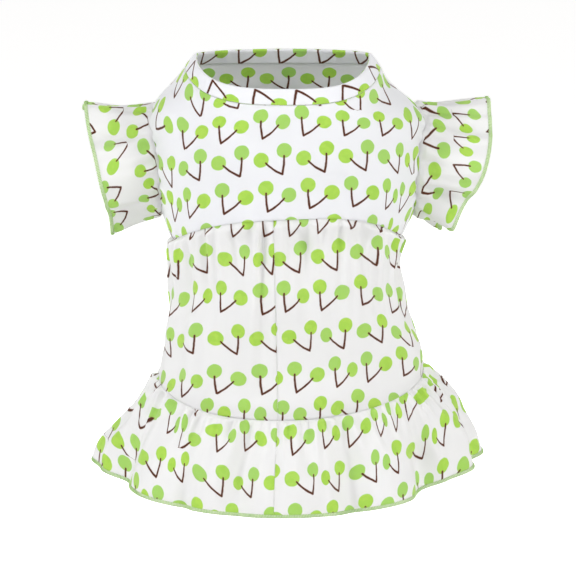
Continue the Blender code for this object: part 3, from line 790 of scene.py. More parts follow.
@dataclass
class Graph:
    """A node tree under construction."""

    tree: Any
    count: int = 0

    def add(self, kind: str, settings: dict, inputs: dict) -> Outputs:
        """Adds a node.

        Args:
            kind: The node's type.
            settings: Its own settings, which are set first.
            inputs: Values or links of its sockets, by name or number.

        Returns:
            The node's outputs.
        """
        node = self.tree.nodes.new(kind)
        node.location = (self.count % 24 * 180, -(self.count // 24) * 260)
        self.count += 1
        for key, value in settings.items():
            setattr(node, key, value)
        for key, value in inputs.items():
            socket = self.entry(node, key)
            if isinstance(value, Socket):
                self.tree.links.new(value.link, socket)
            else:
                socket.default_value = value
        return Outputs(self, node)

    def entry(self, node: Any, key: Union[str, int]) -> Any:
        """Returns a node's input socket by name or number."""
        if isinstance(key, int):
            return node.inputs[key]
        return [s for s in node.inputs if s.name == key and s.enabled][0]

    def maths(self, operation: str, a: Any, b: Any = None) -> Socket:
        """Returns the result of a Math node on one or two values."""
        inputs = {0: a} if b is None else {0: a, 1: b}
        return self.add("ShaderNodeMath", {"operation": operation}, inputs)["Value"]

    def mix(self, factor: Any, a: Any, b: Any, blend: str = "MIX") -> Socket:
        """Returns a mix of two colours, or the second blended over the first."""
        return self.add(
            "ShaderNodeMix",
            {"data_type": "RGBA", "blend_type": blend},
            {"Factor": factor, "A": a, "B": b},
        )["Result"]

    def vector(self, x: Any, y: Any, z: Any = 0.0) -> Socket:
        """Returns a vector from three values."""
        return self.add("ShaderNodeCombineXYZ", {}, {"X": x, "Y": y, "Z": z})["Vector"]

    def noise(self, at: Socket, scale: float, detail: float = 2.0) -> Socket:
        """Returns a soft noise value about 0.5 at a place."""
        return self.add(
            "ShaderNodeTexNoise",
            {"noise_dimensions": "3D"},
            {"Vector": at, "Scale": scale, "Detail": detail, "Roughness": 0.5},
        )["Fac"]

    def chance(self, at: Socket) -> Socket:
        """Returns an even chance from 0 to 1, fixed for each whole place."""
        return self.add("ShaderNodeTexWhiteNoise", {"noise_dimensions": "3D"}, {"Vector": at})["Value"]


@dataclass(frozen=True)
class Sprig:
    """The printed motif: two balls on stems that meet at a point, sizes in metres of flat cloth."""

    pitch: float = 0.0245
    row_pitch: float = 0.0225
    row_shift: float = 0.01225
    ball: float = 0.0044
    tall_across: float = -0.0011
    tall_up: float = 0.0139
    low_across: float = 0.0122
    low_up: float = 0.0088
    stem_half: float = 0.00060
    tall_bend: float = 0.0003
    low_bend: float = -0.0006
    tall_taper: float = 0.00012
    low_taper: float = 0.00016
    below: float = 0.0020
    before: float = 0.0075


@dataclass(frozen=True)
class PrintedCotton:
    """White cotton with the sprig print, a plain weave and a soft unevenness."""

    name: str
    white: tuple
    sprig: Sprig = field(default_factory=Sprig)
    ball_pale: tuple = (0.355, 0.600, 0.135, 1.0)
    ball_bright: tuple = (0.400, 0.640, 0.085, 1.0)
    ball_deep: tuple = (0.320, 0.580, 0.070, 1.0)
    stem: tuple = (0.085, 0.022, 0.009, 1.0)
    stem_rim: tuple = (0.300, 0.110, 0.060, 1.0)
    wander: float = 0.0005
    wander_scale: float = 300.0
    soft: float = 0.00022
    stem_ends: tuple = (-0.00012, 0.00014)
    rim_ends: tuple = (0.00005, 0.00036)
    patch_scale: float = 230.0
    slub_scale: float = 260.0
    slub_stretch: tuple = (1.0, 14.0, 1.0)
    slub_depth: float = 0.00008
    thread_pitch: float = 0.00042
    weave_depth: float = 0.00006
    rough: float = 0.86
    glow: float = 0.45
    glow_depth: float = 0.0022

    def stroke(self, x: Socket, y: Socket, end: tuple, bend: float) -> tuple[Socket, Socket]:
        """Works out how far places are from a slightly bent stem.

        Args:
            x: Places across, from the point where the stems meet.
            y: Places up from there.
            end: The stem's other end.
            bend: How far its middle bows out.

        Returns:
            The distance, and how far along the stem the nearest place is, from 0 to 1.
        """
        length = math.hypot(*end)
        along = x * (end[0] / length**2) + y * (end[1] / length**2)
        along = along.most(0.0).least(1.0)
        bow = along * (1.0 - along) * (4 * bend)
        dx = x - along * end[0] + bow * (end[1] / length)
        dy = y - along * end[1] - bow * (end[0] / length)
        return (dx * dx + dy * dy).root(), along

    def motif(self, graph: Graph, flat: Socket, parts: Outputs) -> tuple[Socket, Socket, Socket]:
        """Lays the sprigs out over the flat cloth.

        Args:
            graph: The tree.
            flat: Places on the flat cloth.
            parts: The same places as separate values.

        Returns:
            Where the balls are, a chance value for each ball, and the distance to the stems' edges.
        """
        s = self.sprig
        wobble = graph.noise(flat, self.wander_scale, 1.0) - 0.5
        wobble_up = graph.noise(graph.vector(parts["Y"], parts["X"], 3.0), self.wander_scale, 1.0) - 0.5
        across = parts["X"] + wobble * self.wander
        up = parts["Y"] + wobble_up * self.wander

        row = ((up + s.below) / s.row_pitch).floor()
        y = up - row * s.row_pitch
        odd = row - (row / 2.0).floor() * 2.0
        shifted = (across - odd * s.row_shift) * (1.0 - odd * 2.0)
        column = ((shifted + s.before) / s.pitch).floor()
        x = shifted - column * s.pitch

        first = graph.chance(graph.vector(column, row, odd))
        second = graph.chance(graph.vector(column, row, odd + 7.0))
        tall = self.ball_distance(x, y, s.tall_across, s.tall_up)
        low = self.ball_distance(x, y, s.low_across, s.low_up)
        tall_mask = 1.0 - tall.step(s.ball - self.soft, s.ball + self.soft)
        low_mask = 1.0 - low.step(s.ball - self.soft, s.ball + self.soft)

        tall_end = (s.tall_across * 0.95, s.tall_up - s.ball * 0.72)
        low_end = (s.low_across - s.ball * 0.62, s.low_up - s.ball * 0.42)
        tall_stem, along_tall = self.stroke(x, y, tall_end, s.tall_bend)
        low_stem, along_low = self.stroke(x, y, low_end, s.low_bend)
        tall_width = along_tall * -s.tall_taper + s.stem_half
        low_width = along_low * -s.low_taper + s.stem_half
        stem_gap = (tall_stem - tall_width).least(low_stem - low_width)
        return tall_mask.most(low_mask), second + (first - second) * tall_mask, stem_gap

    def colours(
        self, graph: Graph, flat: Socket, slub: Socket, ball_mask: Socket, shade: Socket, stem_gap: Socket
    ) -> Socket:
        """Colours the cloth.

        Args:
            graph: The tree.
            flat: Places on the flat cloth.
            slub: The unevenness of its yarn.
            ball_mask: Where the balls are.
            shade: A chance value for each ball.
            stem_gap: The distance to the stems' edges.

        Returns:
            The colour.
        """
        patch = graph.noise(flat, self.patch_scale, 1.0).step(0.44, 0.56)
        ball = graph.mix(shade.step(0.25, 0.75), self.ball_pale, self.ball_bright)
        ball = graph.mix(patch * shade * 0.55, ball, self.ball_deep)
        dimmer = tuple(c * 0.93 for c in self.white[:3]) + (1.0,)
        ground = graph.mix(slub.step(0.2, 0.9) * 0.10, self.white, dimmer)
        colour = graph.mix(ball_mask, ground, ball)
        colour = graph.mix((1.0 - stem_gap.step(*self.rim_ends)) * 0.55, colour, self.stem_rim)
        return graph.mix(1.0 - stem_gap.step(*self.stem_ends), colour, self.stem)

    def weave(self, graph: Graph, parts: Outputs, slub: Socket) -> Socket:
        """Returns the normal of the weave and its uneven yarn."""
        threads = 2 * math.pi / self.thread_pitch
        weft = (parts["Y"] * threads).sine()
        warp = (parts["X"] * threads).sine()
        height = weft * warp * 0.5 * self.weave_depth + slub * self.slub_depth
        inputs = {"Strength": 0.55, "Distance": 1.0, "Height": height}
        return graph.add("ShaderNodeBump", {}, inputs)["Normal"]

    def build(self) -> bpy.types.Material:
        """Makes the material, which reads the UV map as metres of flat cloth."""
        material = bpy.data.materials.new(self.name)
        material.use_nodes = True
        tree = material.node_tree
        shader = tree.nodes["Principled BSDF"]
        graph = Graph(tree)
        flat = graph.add("ShaderNodeUVMap", {"uv_map": "cloth"}, {})["UV"]
        parts = graph.add("ShaderNodeSeparateXYZ", {}, {"Vector": flat})
        drawn = {0: flat, 1: self.slub_stretch}
        yarn = graph.add("ShaderNodeVectorMath", {"operation": "MULTIPLY"}, drawn)["Vector"]
        slub = graph.noise(yarn, self.slub_scale, 2.0)
        colour = self.colours(graph, flat, slub, *self.motif(graph, flat, parts))
        tree.links.new(colour.link, shader.inputs["Base Color"])
        tree.links.new(self.weave(graph, parts, slub).link, shader.inputs["Normal"])
        for name, value in {
            "Roughness": self.rough,
            "Sheen Weight": 0.15,
            "Sheen Roughness": 0.5,
            "Specular IOR Level": 0.25,
            "Subsurface Weight": self.glow,
            "Subsurface Radius": (1.0, 1.0, 0.95),
            "Subsurface Scale": self.glow_depth,
        }.items():
            shader.inputs[name].default_value = value
        return material

    def ball_distance(self, x: Socket, y: Socket, across: float, up: float) -> Socket:
        """Returns how far places are from the middle of a ball."""
        dx = x - across
        dy = y - up
        return (dx * dx + dy * dy).root()


@dataclass(frozen=True)
class Thread:
    """Spun thread with a fine twist."""

    name: str
    dark: tuple
    light: tuple
    rough: float = 0.62

    def build(self) -> bpy.types.Material:
        """Makes the material, which reads Object coordinates."""
        material = bpy.data.materials.new(self.name)
        material.use_nodes = True
        tree = material.node_tree
        shader = tree.nodes["Principled BSDF"]
        graph = Graph(tree)
        place = graph.add("ShaderNodeTexCoord", {}, {})["Object"]
        mottle = graph.noise(place, 900.0, 2.0)
        patch = graph.noise(place, 70.0, 2.0)
        colour = graph.mix((mottle * 0.5 + patch * 0.5).step(0.35, 0.65), self.dark, self.light)
        twist = graph.noise(place, 3200.0, 1.0)
        bump = graph.add(
            "ShaderNodeBump", {}, {"Strength": 0.5, "Distance": 1.0, "Height": twist * 0.0001}
        )["Normal"]
        tree.links.new(colour.link, shader.inputs["Base Color"])
        tree.links.new(bump.link, shader.inputs["Normal"])
        shader.inputs["Roughness"].default_value = self.rough
        shader.inputs["Sheen Weight"].default_value = 0.2
        return material


class Facing(Enum):
    """Which way round the threads of a stitched edge lie."""

    STRAIGHT = 0.0
    SLANTED = 0.24


@dataclass
class EdgeThreads:
    """Overlocked thread: rings of thread round a cut edge, one after another."""

    thread: bpy.types.Material
    pitch: float = 0.00095
    reach: float = 0.00112
    depth: float = 0.00050
    thick: float = 0.00022
    facing: Facing = Facing.SLANTED

    def tree(self) -> Any:
        """Builds the Geometry Nodes tree that sets a ring of thread on every point."""
        tree = bpy.data.node_groups.new("overlock_threads", "GeometryNodeTree")
        face = tree.interface
        face.new_socket("Geometry", in_out="INPUT", socket_type="NodeSocketGeometry")
        for label in ("Reach", "Depth", "Thread Radius", "Slant"):
            face.new_socket(label, in_out="INPUT", socket_type="NodeSocketFloat")
        face.new_socket("Geometry", in_out="OUTPUT", socket_type="NodeSocketGeometry")
        graph = Graph(tree)
        given = graph.add("NodeGroupInput", {}, {})
        ring = graph.add("GeometryNodeCurvePrimitiveCircle", {}, {"Resolution": 9, "Radius": 1.0})["Curve"]
        size = graph.vector(given["Reach"], given["Depth"], 1.0)
        ring = graph.add("GeometryNodeTransform", {}, {"Geometry": ring, "Scale": size})["Geometry"]
        profile = graph.add(
            "GeometryNodeCurvePrimitiveCircle", {}, {"Resolution": 4, "Radius": given["Thread Radius"]}
        )["Curve"]
        ring = graph.add("GeometryNodeCurveToMesh", {}, {"Curve": ring, "Profile Curve": profile})["Mesh"]
        ring = graph.add("GeometryNodeSetShadeSmooth", {}, {"Geometry": ring})["Geometry"]
        inward = self.attribute(graph, "inward")
        upright = self.attribute(graph, "upright")
        turned = graph.add(
            "FunctionNodeAlignRotationToVector", {"axis": "X"}, {"Vector": inward}
        )["Rotation"]
        turned = graph.add(
            "FunctionNodeAlignRotationToVector",
            {"axis": "Y", "pivot_axis": "X"},
            {"Rotation": turned, "Vector": upright},
        )["Rotation"]
        slant = graph.vector(0.0, given["Slant"], 0.0)
        turned = graph.add(
            "FunctionNodeRotateRotation",
            {"rotation_space": "LOCAL"},
            {"Rotation": turned, "Rotate By": slant},
        )["Rotation"]
        placed = graph.add(
            "GeometryNodeInstanceOnPoints",
            {},
            {"Points": given["Geometry"], "Instance": ring, "Rotation": turned},
        )["Instances"]
        real = graph.add("GeometryNodeRealizeInstances", {}, {"Geometry": placed})["Geometry"]
        real = graph.add(
            "GeometryNodeSetMaterial", {}, {"Geometry": real, "Material": self.thread}
        )["Geometry"]
        graph.add("NodeGroupOutput", {}, {"Geometry": real})
        return tree

    def attribute(self, graph: Graph, name: str) -> Socket:
        """Returns a named vector attribute of the points."""
        return graph.add("GeometryNodeInputNamedAttribute", {"data_type": "FLOAT_VECTOR"}, {"Name": name})[
            "Attribute"
        ]

    def build(self, name: str, edge: Array, inward: Array, upright: Array) -> bpy.types.Object:
        """Makes the threads along a closed edge.

        Args:
            name: The object's name.
            edge: Points close together along the middle of the edging.
            inward: Directions from the edge into the cloth.
            upright: Directions square to the cloth.

        Returns:
            The threads as one plain mesh object.
        """
        loop = np.concatenate([edge, edge[:1]])
        steps = np.linalg.norm(np.diff(loop, axis=0), axis=1)
        length = np.concatenate([[0.0], np.cumsum(steps)])
        count = int(length[-1] / self.pitch)
        at = np.arange(count) * length[-1] / count
        places = [np.interp(at, length, loop[:, i]) for i in range(3)]
        mesh = bpy.data.meshes.new(name + "_points")
        mesh.from_pydata([tuple(p) for p in np.stack(places, axis=1)], [], [])
        for label, directions in (("inward", inward), ("upright", upright)):
            ring = np.concatenate([directions, directions[:1]])
            values = np.stack([np.interp(at, length, ring[:, i]) for i in range(3)], axis=1)
            attribute = mesh.attributes.new(label, "FLOAT_VECTOR", "POINT")
            attribute.data.foreach_set("vector", values.astype(np.float32).ravel())
        maker = bpy.data.objects.new(name + "_points", mesh)
        bpy.context.scene.collection.objects.link(maker)
        modifier = maker.modifiers.new("threads", "NODES")
        modifier.node_group = self.tree()
        sizes = {
            "Reach": self.reach,
            "Depth": self.depth,
            "Thread Radius": self.thick,
            "Slant": self.facing.value,
        }
        for item in modifier.node_group.interface.items_tree:
            if item.in_out == "INPUT" and item.name in sizes:
                modifier[item.identifier] = sizes[item.name]
        evaluated = maker.evaluated_get(bpy.context.evaluated_depsgraph_get())
        made = bpy.data.meshes.new_from_object(evaluated)
        maker.modifiers.remove(modifier)
        bpy.data.objects.remove(maker)
        threads = bpy.data.objects.new(name, made)
        bpy.context.scene.collection.objects.link(threads)
        return threads


@dataclass
class Pattern:
    """The surfaces of the dress, which its pieces are cut from."""

    yoke: Tier = field(init=False)
    skirt: Tier = field(init=False)
    flounce: Tier = field(init=False)

    def __post_init__(self) -> None:
        """Sets out the seams and the three tiers."""
        neck = SeamLevel(0.0, -0.0153, -0.0010, 3.0)
        waist = SeamLevel(-YOKE_LENGTH, 0.0198, 0.0, 3.0, sway=0.0030)
        low = -YOKE_LENGTH - SKIRT_LENGTH
        skirt_seam = SeamLevel(low, -0.0154, 0.0110, 2.4, 0.0021)
        hem = SeamLevel(low - FLOUNCE_LENGTH, -0.0158, 0.0160, 2.4, 0.0042, -0.0030)
        self.yoke = Tier(
            YOKE_LENGTH, YOKE_SECTIONS, neck, waist, crumple=Crumple(0.0005, 0.034, 5)
        )
        self.skirt = Tier(
            SKIRT_LENGTH,
            SKIRT_SECTIONS,
            waist,
            skirt_seam,
            SKIRT_FOLDS + plain_folds(SKIRT_PLAIN_FOLD, SKIRT_PLAIN_PITCH),
            self.yoke,
            0.0010,
            Gathers(0.0070, 0.0056, 0.025, 21),
            Crumple(0.0042, 0.026, 8),
            0.066,
        )
        self.flounce = Tier(
            FLOUNCE_LENGTH,
            FLOUNCE_SECTIONS,
            skirt_seam,
            hem,
            FLOUNCE_FOLDS + plain_folds(FLOUNCE_PLAIN_FOLD, FLOUNCE_PLAIN_PITCH),
            self.skirt,
            0.0004,
            Gathers(0.0060, 0.0052, 0.018, 34),
            Crumple(0.0042, 0.024, 13),
            0.080,
            1.0,
        )


ARMHOLE_HEIGHT = 0.0668
ARMHOLE_DEPTH = 0.0480
ARMHOLE_DROP = 0.0580
ARMHOLE_SETBACK = 0.0090


def armhole_gap(points: Array) -> Array:
    """Returns how far points are outside the armhole's edge, seen from the side, in metres."""
    depth = (points[..., 1] - ARMHOLE_SETBACK) / (ARMHOLE_DEPTH / 2)
    height = (points[..., 2] + ARMHOLE_DROP) / (ARMHOLE_HEIGHT / 2)
    return (np.hypot(depth, height) - 1) * (ARMHOLE_DEPTH + ARMHOLE_HEIGHT) / 4


@dataclass
class Yoke:
    """The lined upper part in two pieces, with the armholes."""

    pattern: Pattern
    cotton: bpy.types.Material
    wall: float = 0.0007
    rows: int = 104
    back_columns: int = 250
    chest_columns: int = 190
    seam_turn_in: float = 0.0006
    seam_soften: float = 0.0022
    pucker: float = 0.0006
    waist_waves: float = 48.0
    waist_run: float = 0.006
    waist_part: float = 0.4
    arm_waves: float = 17.0
    arm_run: float = 0.008
    chest_lay: PlainLay = PlainLay(0.0, 0.0)
    lining_lay: PlainLay = PlainLay(0.01225, 0.0)

    def turned_in(self, turn: Array, share: Array, points: Array) -> Array:
        """Returns how far the cloth sinks where its edges turn in to the seams, in metres."""
        length = self.pattern.yoke.length
        to_neck = share * length
        to_waist = (1 - share) * length
        to_arm = armhole_gap(points)
        near = np.minimum(np.minimum(to_neck, to_waist), np.abs(to_arm))
        sink = self.seam_turn_in * (1 - eased(near / self.seam_soften)) * 0.5
        ripple = np.sin(np.radians(turn) * self.waist_waves + 2 * np.sin(np.radians(turn) * 11))
        by_waist = np.exp(-((to_waist / self.waist_run) ** 2)) * self.waist_part
        by_arm = np.exp(-((to_arm / self.arm_run) ** 2))
        around = np.arctan2(points[..., 2] + ARMHOLE_DROP, points[..., 1] - ARMHOLE_SETBACK)
        arm_ripple = np.sin(around * self.arm_waves + 1.5 * np.sin(around * 5))
        return sink + self.pucker * (ripple * by_waist + arm_ripple * by_arm)

    def piece(self, name: str, start: float, end: float, columns: int, cutters: list) -> bpy.types.Object:
        """Makes one piece of the yoke from one side seam to the other.

        Args:
            name: The CAD node that it stands for.
            start: Turn of its first edge.
            end: Turn of its last edge.
            columns: Columns of its mesh.
            cutters: Plugs that cut the armholes.

        Returns:
            The piece.
        """
        tier = self.pattern.yoke
        share = np.linspace(0.0, 1.0, self.rows)[:, None] * np.ones((1, columns))
        turn = np.linspace(start + 0.12, end - 0.12, columns)[None, :] * np.ones((self.rows, 1))
        smooth = tier.base(turn, share)
        facing = tier.facing(turn, share)
        lift = tier.fine_relief(turn, share) * eased((1 - share) * tier.length / 0.015)
        lift = lift - self.turned_in(turn, share, smooth)
        outer = smooth + facing * lift[..., None]
        inner = smooth + facing * (np.minimum(lift, 0.0) * 0.5 - self.wall)[..., None]
        arcs = ArcTable(tier)
        around = arcs.read(arcs.round, turn, share)
        from_chest = around - arcs.read(arcs.round, np.full_like(turn, 180.0), share)
        up = -arcs.read(arcs.drop, turn, share)
        if start < 0:
            flat = YOKE_LAY.place(arcs.measure, turn, share)
        else:
            flat = self.chest_lay.place(from_chest, up)
        flat_inner = self.lining_lay.place(-from_chest, up)
        shell = ClothShell(outer, inner, flat, flat_inner)
        piece = shell.build(name + "_cloth", self.cotton)
        for cutter in cutters:
            cut = piece.modifiers.new(cutter.name, "BOOLEAN")
            cut.operation = "DIFFERENCE"
            cut.solver = "EXACT"
            cut.object = cutter
        return bake(piece)

    def cutter(self, side: float) -> bpy.types.Object:
        """Makes the elliptic plug that cuts the armhole on one side."""
        angle = np.linspace(0, 2 * math.pi, 96, endpoint=False)
        depth = ARMHOLE_SETBACK - ARMHOLE_DEPTH / 2 * np.sin(angle)
        height = -ARMHOLE_DROP + ARMHOLE_HEIGHT / 2 * np.cos(angle)
        near = np.stack([np.full_like(angle, side * 0.030), depth, height], axis=-1)
        far = np.stack([np.full_like(angle, side * 0.115), depth, height], axis=-1)
        count = len(angle)
        mesh = bpy.data.meshes.new("armhole")
        faces = [(i, (i + 1) % count, count + (i + 1) % count, count + i) for i in range(count)]
        faces += [tuple(reversed(range(count))), tuple(range(count, 2 * count))]
        mesh.from_pydata([tuple(p) for p in np.concatenate([near, far])], [], faces)
        if side < 0:
            mesh.flip_normals()
        plug = bpy.data.objects.new("armhole", mesh)
        bpy.context.scene.collection.objects.link(plug)
        return plug

    def build(self) -> None:
        """Makes both pieces."""
        cutters = [self.cutter(-1.0), self.cutter(1.0)]
        side = SIDE_SEAM_TURN
        back = self.piece("back_yoke", -side, side, self.back_columns, cutters)
        chest = self.piece("chest_yoke", side, 360 - side, self.chest_columns, cutters)
        for plug in cutters:
            bpy.data.objects.remove(plug)
        settle(back, "back_yoke")
        settle(chest, "chest_yoke")


def bake(piece: bpy.types.Object) -> bpy.types.Object:
    """Turns a piece with live modifiers into a plain mesh object of the same name."""
    evaluated = piece.evaluated_get(bpy.context.evaluated_depsgraph_get())
    made = bpy.data.meshes.new_from_object(evaluated)
    piece.modifiers.clear()
    piece.data = made
    piece.data.shade_smooth()
    return piece


def settle(piece: bpy.types.Object, node: str) -> None:
    """Puts a finished cloth piece in its node's place.

    Args:
        piece: The piece.
        node: The CAD node that it stands for.
    """
    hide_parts(node)
    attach(piece, "root")
    log.info("%s: %d faces", piece.name, len(piece.data.polygons))


@dataclass
class Neckband:
    """The folded band that stands on the neck seam and leans in over the neck."""

    pattern: Pattern
    cotton: bpy.types.Material
    height: float = 0.0095
    wall: float = 0.0022
    lean_back: float = 12.0
    lean_side: float = 38.0
    lean_chest: float = 24.0
    columns: int = 340
    rows: int = 12
    lay: PlainLay = PlainLay(0.01700, -0.0140, -1.0, 1.17)
    lining_lay: PlainLay = PlainLay(0.0, 0.0)

    def build(self) -> None:
        """Makes the band as a closed roll: up its outer face, over the top and down its inner face."""
        tier = self.pattern.yoke
        turn = np.linspace(0.0, 360.0, self.columns, endpoint=False)
        start = np.full_like(turn, -SEAM_GAP / tier.length)
        foot = tier.base(turn, start)
        foot_out = tier.facing(turn, start)
        along = tier.base(turn + TURN_STEP, start * 0) - tier.base(turn - TURN_STEP, start * 0)
        level = np.stack([along[:, 1], -along[:, 0], along[:, 0] * 0], axis=-1)
        level = unit(level)
        cosine = np.cos(np.radians(turn))
        end = np.where(cosine > 0, self.lean_back, self.lean_chest)
        lean = np.radians(self.lean_side + (end - self.lean_side) * cosine**2)[:, None]
        upright = np.array([0.0, 0.0, 1.0])
        rise = upright * np.cos(lean) - level * np.sin(lean)
        out = upright * np.sin(lean) + level * np.cos(lean)
        ups, ins, walked = self.profile()
        ripple = 0.00018 * np.sin(np.radians(turn) * 31 + 3 * np.sin(np.radians(turn) * 7))
        rings = []
        for up, inward in zip(ups, ins):
            facing = foot_out + (out - foot_out) * min(1.0, 2 * up)
            swell = ripple * math.sin(math.pi * min(1.0, up)) * (1 if inward < 0.5 else -1)
            rings.append(
                foot + rise * (up * self.height) - facing * (self.wall * inward - swell[:, None])
            )
        grid = np.stack(rings, axis=0)
        arc = np.concatenate([[0.0], np.cumsum(np.linalg.norm(np.diff(foot, axis=0), axis=1))])
        closing = arc[-1] + np.linalg.norm(foot[0] - foot[-1])
        arc = np.concatenate([arc, [closing]])
        turns = np.concatenate([turn, [360.0]])
        half = len(ups) // 2
        flat = np.zeros((len(ups), self.columns + 1, 2))
        for i, length in enumerate(walked):
            lay = self.lay if i < half else self.lining_lay
            signed = arc if i < half else closing / 2 - arc
            up = np.full_like(arc, length if i < half else walked[-1] - length)
            flat[i] = lay.place(signed, up)
        rows, columns = grid.shape[:2]
        quads, row, col = grid_quads(rows, columns, rows, columns)
        uv = flat[row % rows, col]
        band = mesh_object("neckband_cloth", grid.reshape(-1, 3), quads, uv, [self.cotton])
        settle(band, "neckband")

    def profile(self) -> tuple[Array, Array, Array]:
        """Works out the band's section.

        Returns:
            Shares of its height and of its wall for each point of the section, from the outer foot
            over the top to the inner foot, and the distance walked to each.
        """
        side = np.linspace(0.0, 0.86, self.rows)
        turned = np.linspace(0.0, math.pi, self.rows + 1)[1:-1]
        ups = np.concatenate([side, 0.86 + 0.14 * np.sin(turned), side[::-1]])
        ins = np.concatenate([side * 0, 0.5 - 0.5 * np.cos(turned), side * 0 + 1])
        x = ups * self.height
        y = ins * self.wall
        walked = np.concatenate([[0.0], np.cumsum(np.hypot(np.diff(x), np.diff(y)))])
        return ups, ins, walked


@dataclass
class GatheredTier:
    """A skirt or flounce of two panels, gathered into the tier above."""

    pattern: Pattern
    tier: Tier
    node: str
    cotton: bpy.types.Material
    seam_top: float
    seam_foot: float
    last_share: float
    columns: int
    rows: int
    flat: tuple
    lay_left: RowLay
    lay_right: RowLay
    wall: float = 0.0006
    heading_sink: float = 0.0004
    seam_depth: float = 0.0005
    seam_reach: float = 0.0018

    def panel(self, right: bool) -> bpy.types.Object:
        """Makes the panel on one side of the back seam.

        Args:
            right: Whether it is the right panel.

        Returns:
            The panel, with its heading inside the tier above.
        """
        tier = self.tier
        shares = np.linspace(0.0, 1.0, self.rows) ** 1.15 * self.last_share
        seam = self.seam_top + (self.seam_foot - self.seam_top) * np.clip(shares, 0, 1)
        steps = np.linspace(0.0, 1.0, self.columns)
        if right:
            turn = (seam + 0.02)[:, None] + (179.9 - seam)[:, None] * steps
        else:
            turn = -179.9 + (seam - 0.02 + 179.9)[:, None] * steps
        share = shares[:, None] * np.ones((1, self.columns))
        outer = tier.outer(turn, share)
        edge = self.seam_dip(turn, seam[:, None], outer)
        outer = outer - tier.facing(turn, share) * edge[..., None]
        normal = grid_normals(outer, False)
        inner = outer - normal * self.wall
        above = np.full(self.columns, 1.0 - SEAM_LAP / tier.carrier.length)
        head = tier.carrier.base(turn[0], above)
        head_facing = tier.carrier.facing(turn[0], above)
        sunk = tier.tuck + self.heading_sink
        outer = np.concatenate([(head - head_facing * sunk)[None], outer])
        inner = np.concatenate([(head - head_facing * (sunk + self.wall))[None], inner])
        arcs = ArcTable(tier)
        lay = self.lay_right if right else self.lay_left
        flat = lay.place(arcs.measure, turn, share)
        top = flat[:1] + np.array([0.0, SEAM_LAP])
        flat = np.concatenate([top, flat])
        side = "right" if right else "left"
        shell = ClothShell(outer, inner, flat, flat)
        piece = shell.build(f"{self.node}_{side}_cloth", self.cotton)
        settle(piece, f"{self.node}_{side}")
        return piece

    def seam_dip(self, turn: Array, seam: Array, points: Array) -> Array:
        """Returns how far the cloth sinks towards the back seam, in metres."""
        away = np.radians(np.abs(turn - seam)) * np.hypot(points[..., 0], points[..., 1])
        return self.seam_depth * np.exp(-((away / self.seam_reach) ** 2))

    def build(self) -> None:
        """Makes both panels."""
        self.panel(False)
        self.panel(True)


@dataclass(frozen=True)
class Cuff:
    """How far out a sleeve's edge reaches, as shares of the sleeve's reach."""

    mean: float
    slant: float
    fullness: float
    swing: float


SLEEVE_REACH = 0.1100
CUFF_HEIGHT = 0.0730
CUFF_DEPTH = 0.0740
CUFF_DROP = 0.0620
SLEEVE_STAND = 0.0015
HEADING_REACH = 0.0100
SLEEVE_FLARE_POWER = 0.7
SLEEVE_CLOTH_LENGTH = 0.043
SLEEVE_RADIUS = 0.030
SLEEVE_FLARE = 0.008
HEM_EDGE_COLUMNS = 1100
CUFF_EDGE_COLUMNS = 420
LEFT_CUFF = Cuff(1.035, 0.075, 0.006, -0.028)
RIGHT_CUFF = Cuff(0.968, 0.131, 0.087, 0.000)
LEFT_SLEEVE_FOLDS = (
    Fold(22, 18, 0.068, 0.10, 1.00, 2.00),
    Fold(52, 16, -0.068, 0.00, 0.60, 1.60),
    Fold(92, 24, 0.045, 0.00, 0.80, 2.00),
    Fold(136, 16, -0.060, 0.00, 0.50, 1.50),
    Fold(166, 18, 0.068, 0.10, 1.00, 2.00),
    Fold(204, 16, -0.090, 0.05, 0.80, 2.00),
    Fold(240, 18, 0.090, 0.05, 0.80, 2.00),
    Fold(278, 18, -0.075, 0.05, 0.80, 2.00),
    Fold(316, 20, 0.105, 0.05, 1.00, 2.00),
    Fold(350, 14, -0.045, 0.05, 0.80, 2.00),
)
RIGHT_SLEEVE_FOLDS = (
    Fold(8, 20, 0.068, 0.10, 1.00, 2.00),
    Fold(42, 15, -0.060, 0.00, 0.60, 1.60),
    Fold(80, 22, 0.060, 0.00, 0.80, 2.00),
    Fold(116, 15, -0.083, 0.00, 0.55, 1.60),
    Fold(142, 16, 0.090, 0.10, 1.00, 2.00),
    Fold(168, 14, -0.135, 0.05, 0.90, 2.00),
    Fold(192, 14, 0.075, 0.05, 0.90, 2.00),
    Fold(226, 18, -0.083, 0.05, 0.80, 2.00),
    Fold(262, 20, 0.090, 0.05, 0.80, 2.00),
    Fold(302, 18, -0.083, 0.05, 0.80, 2.00),
    Fold(336, 18, 0.068, 0.05, 1.00, 2.00),
)


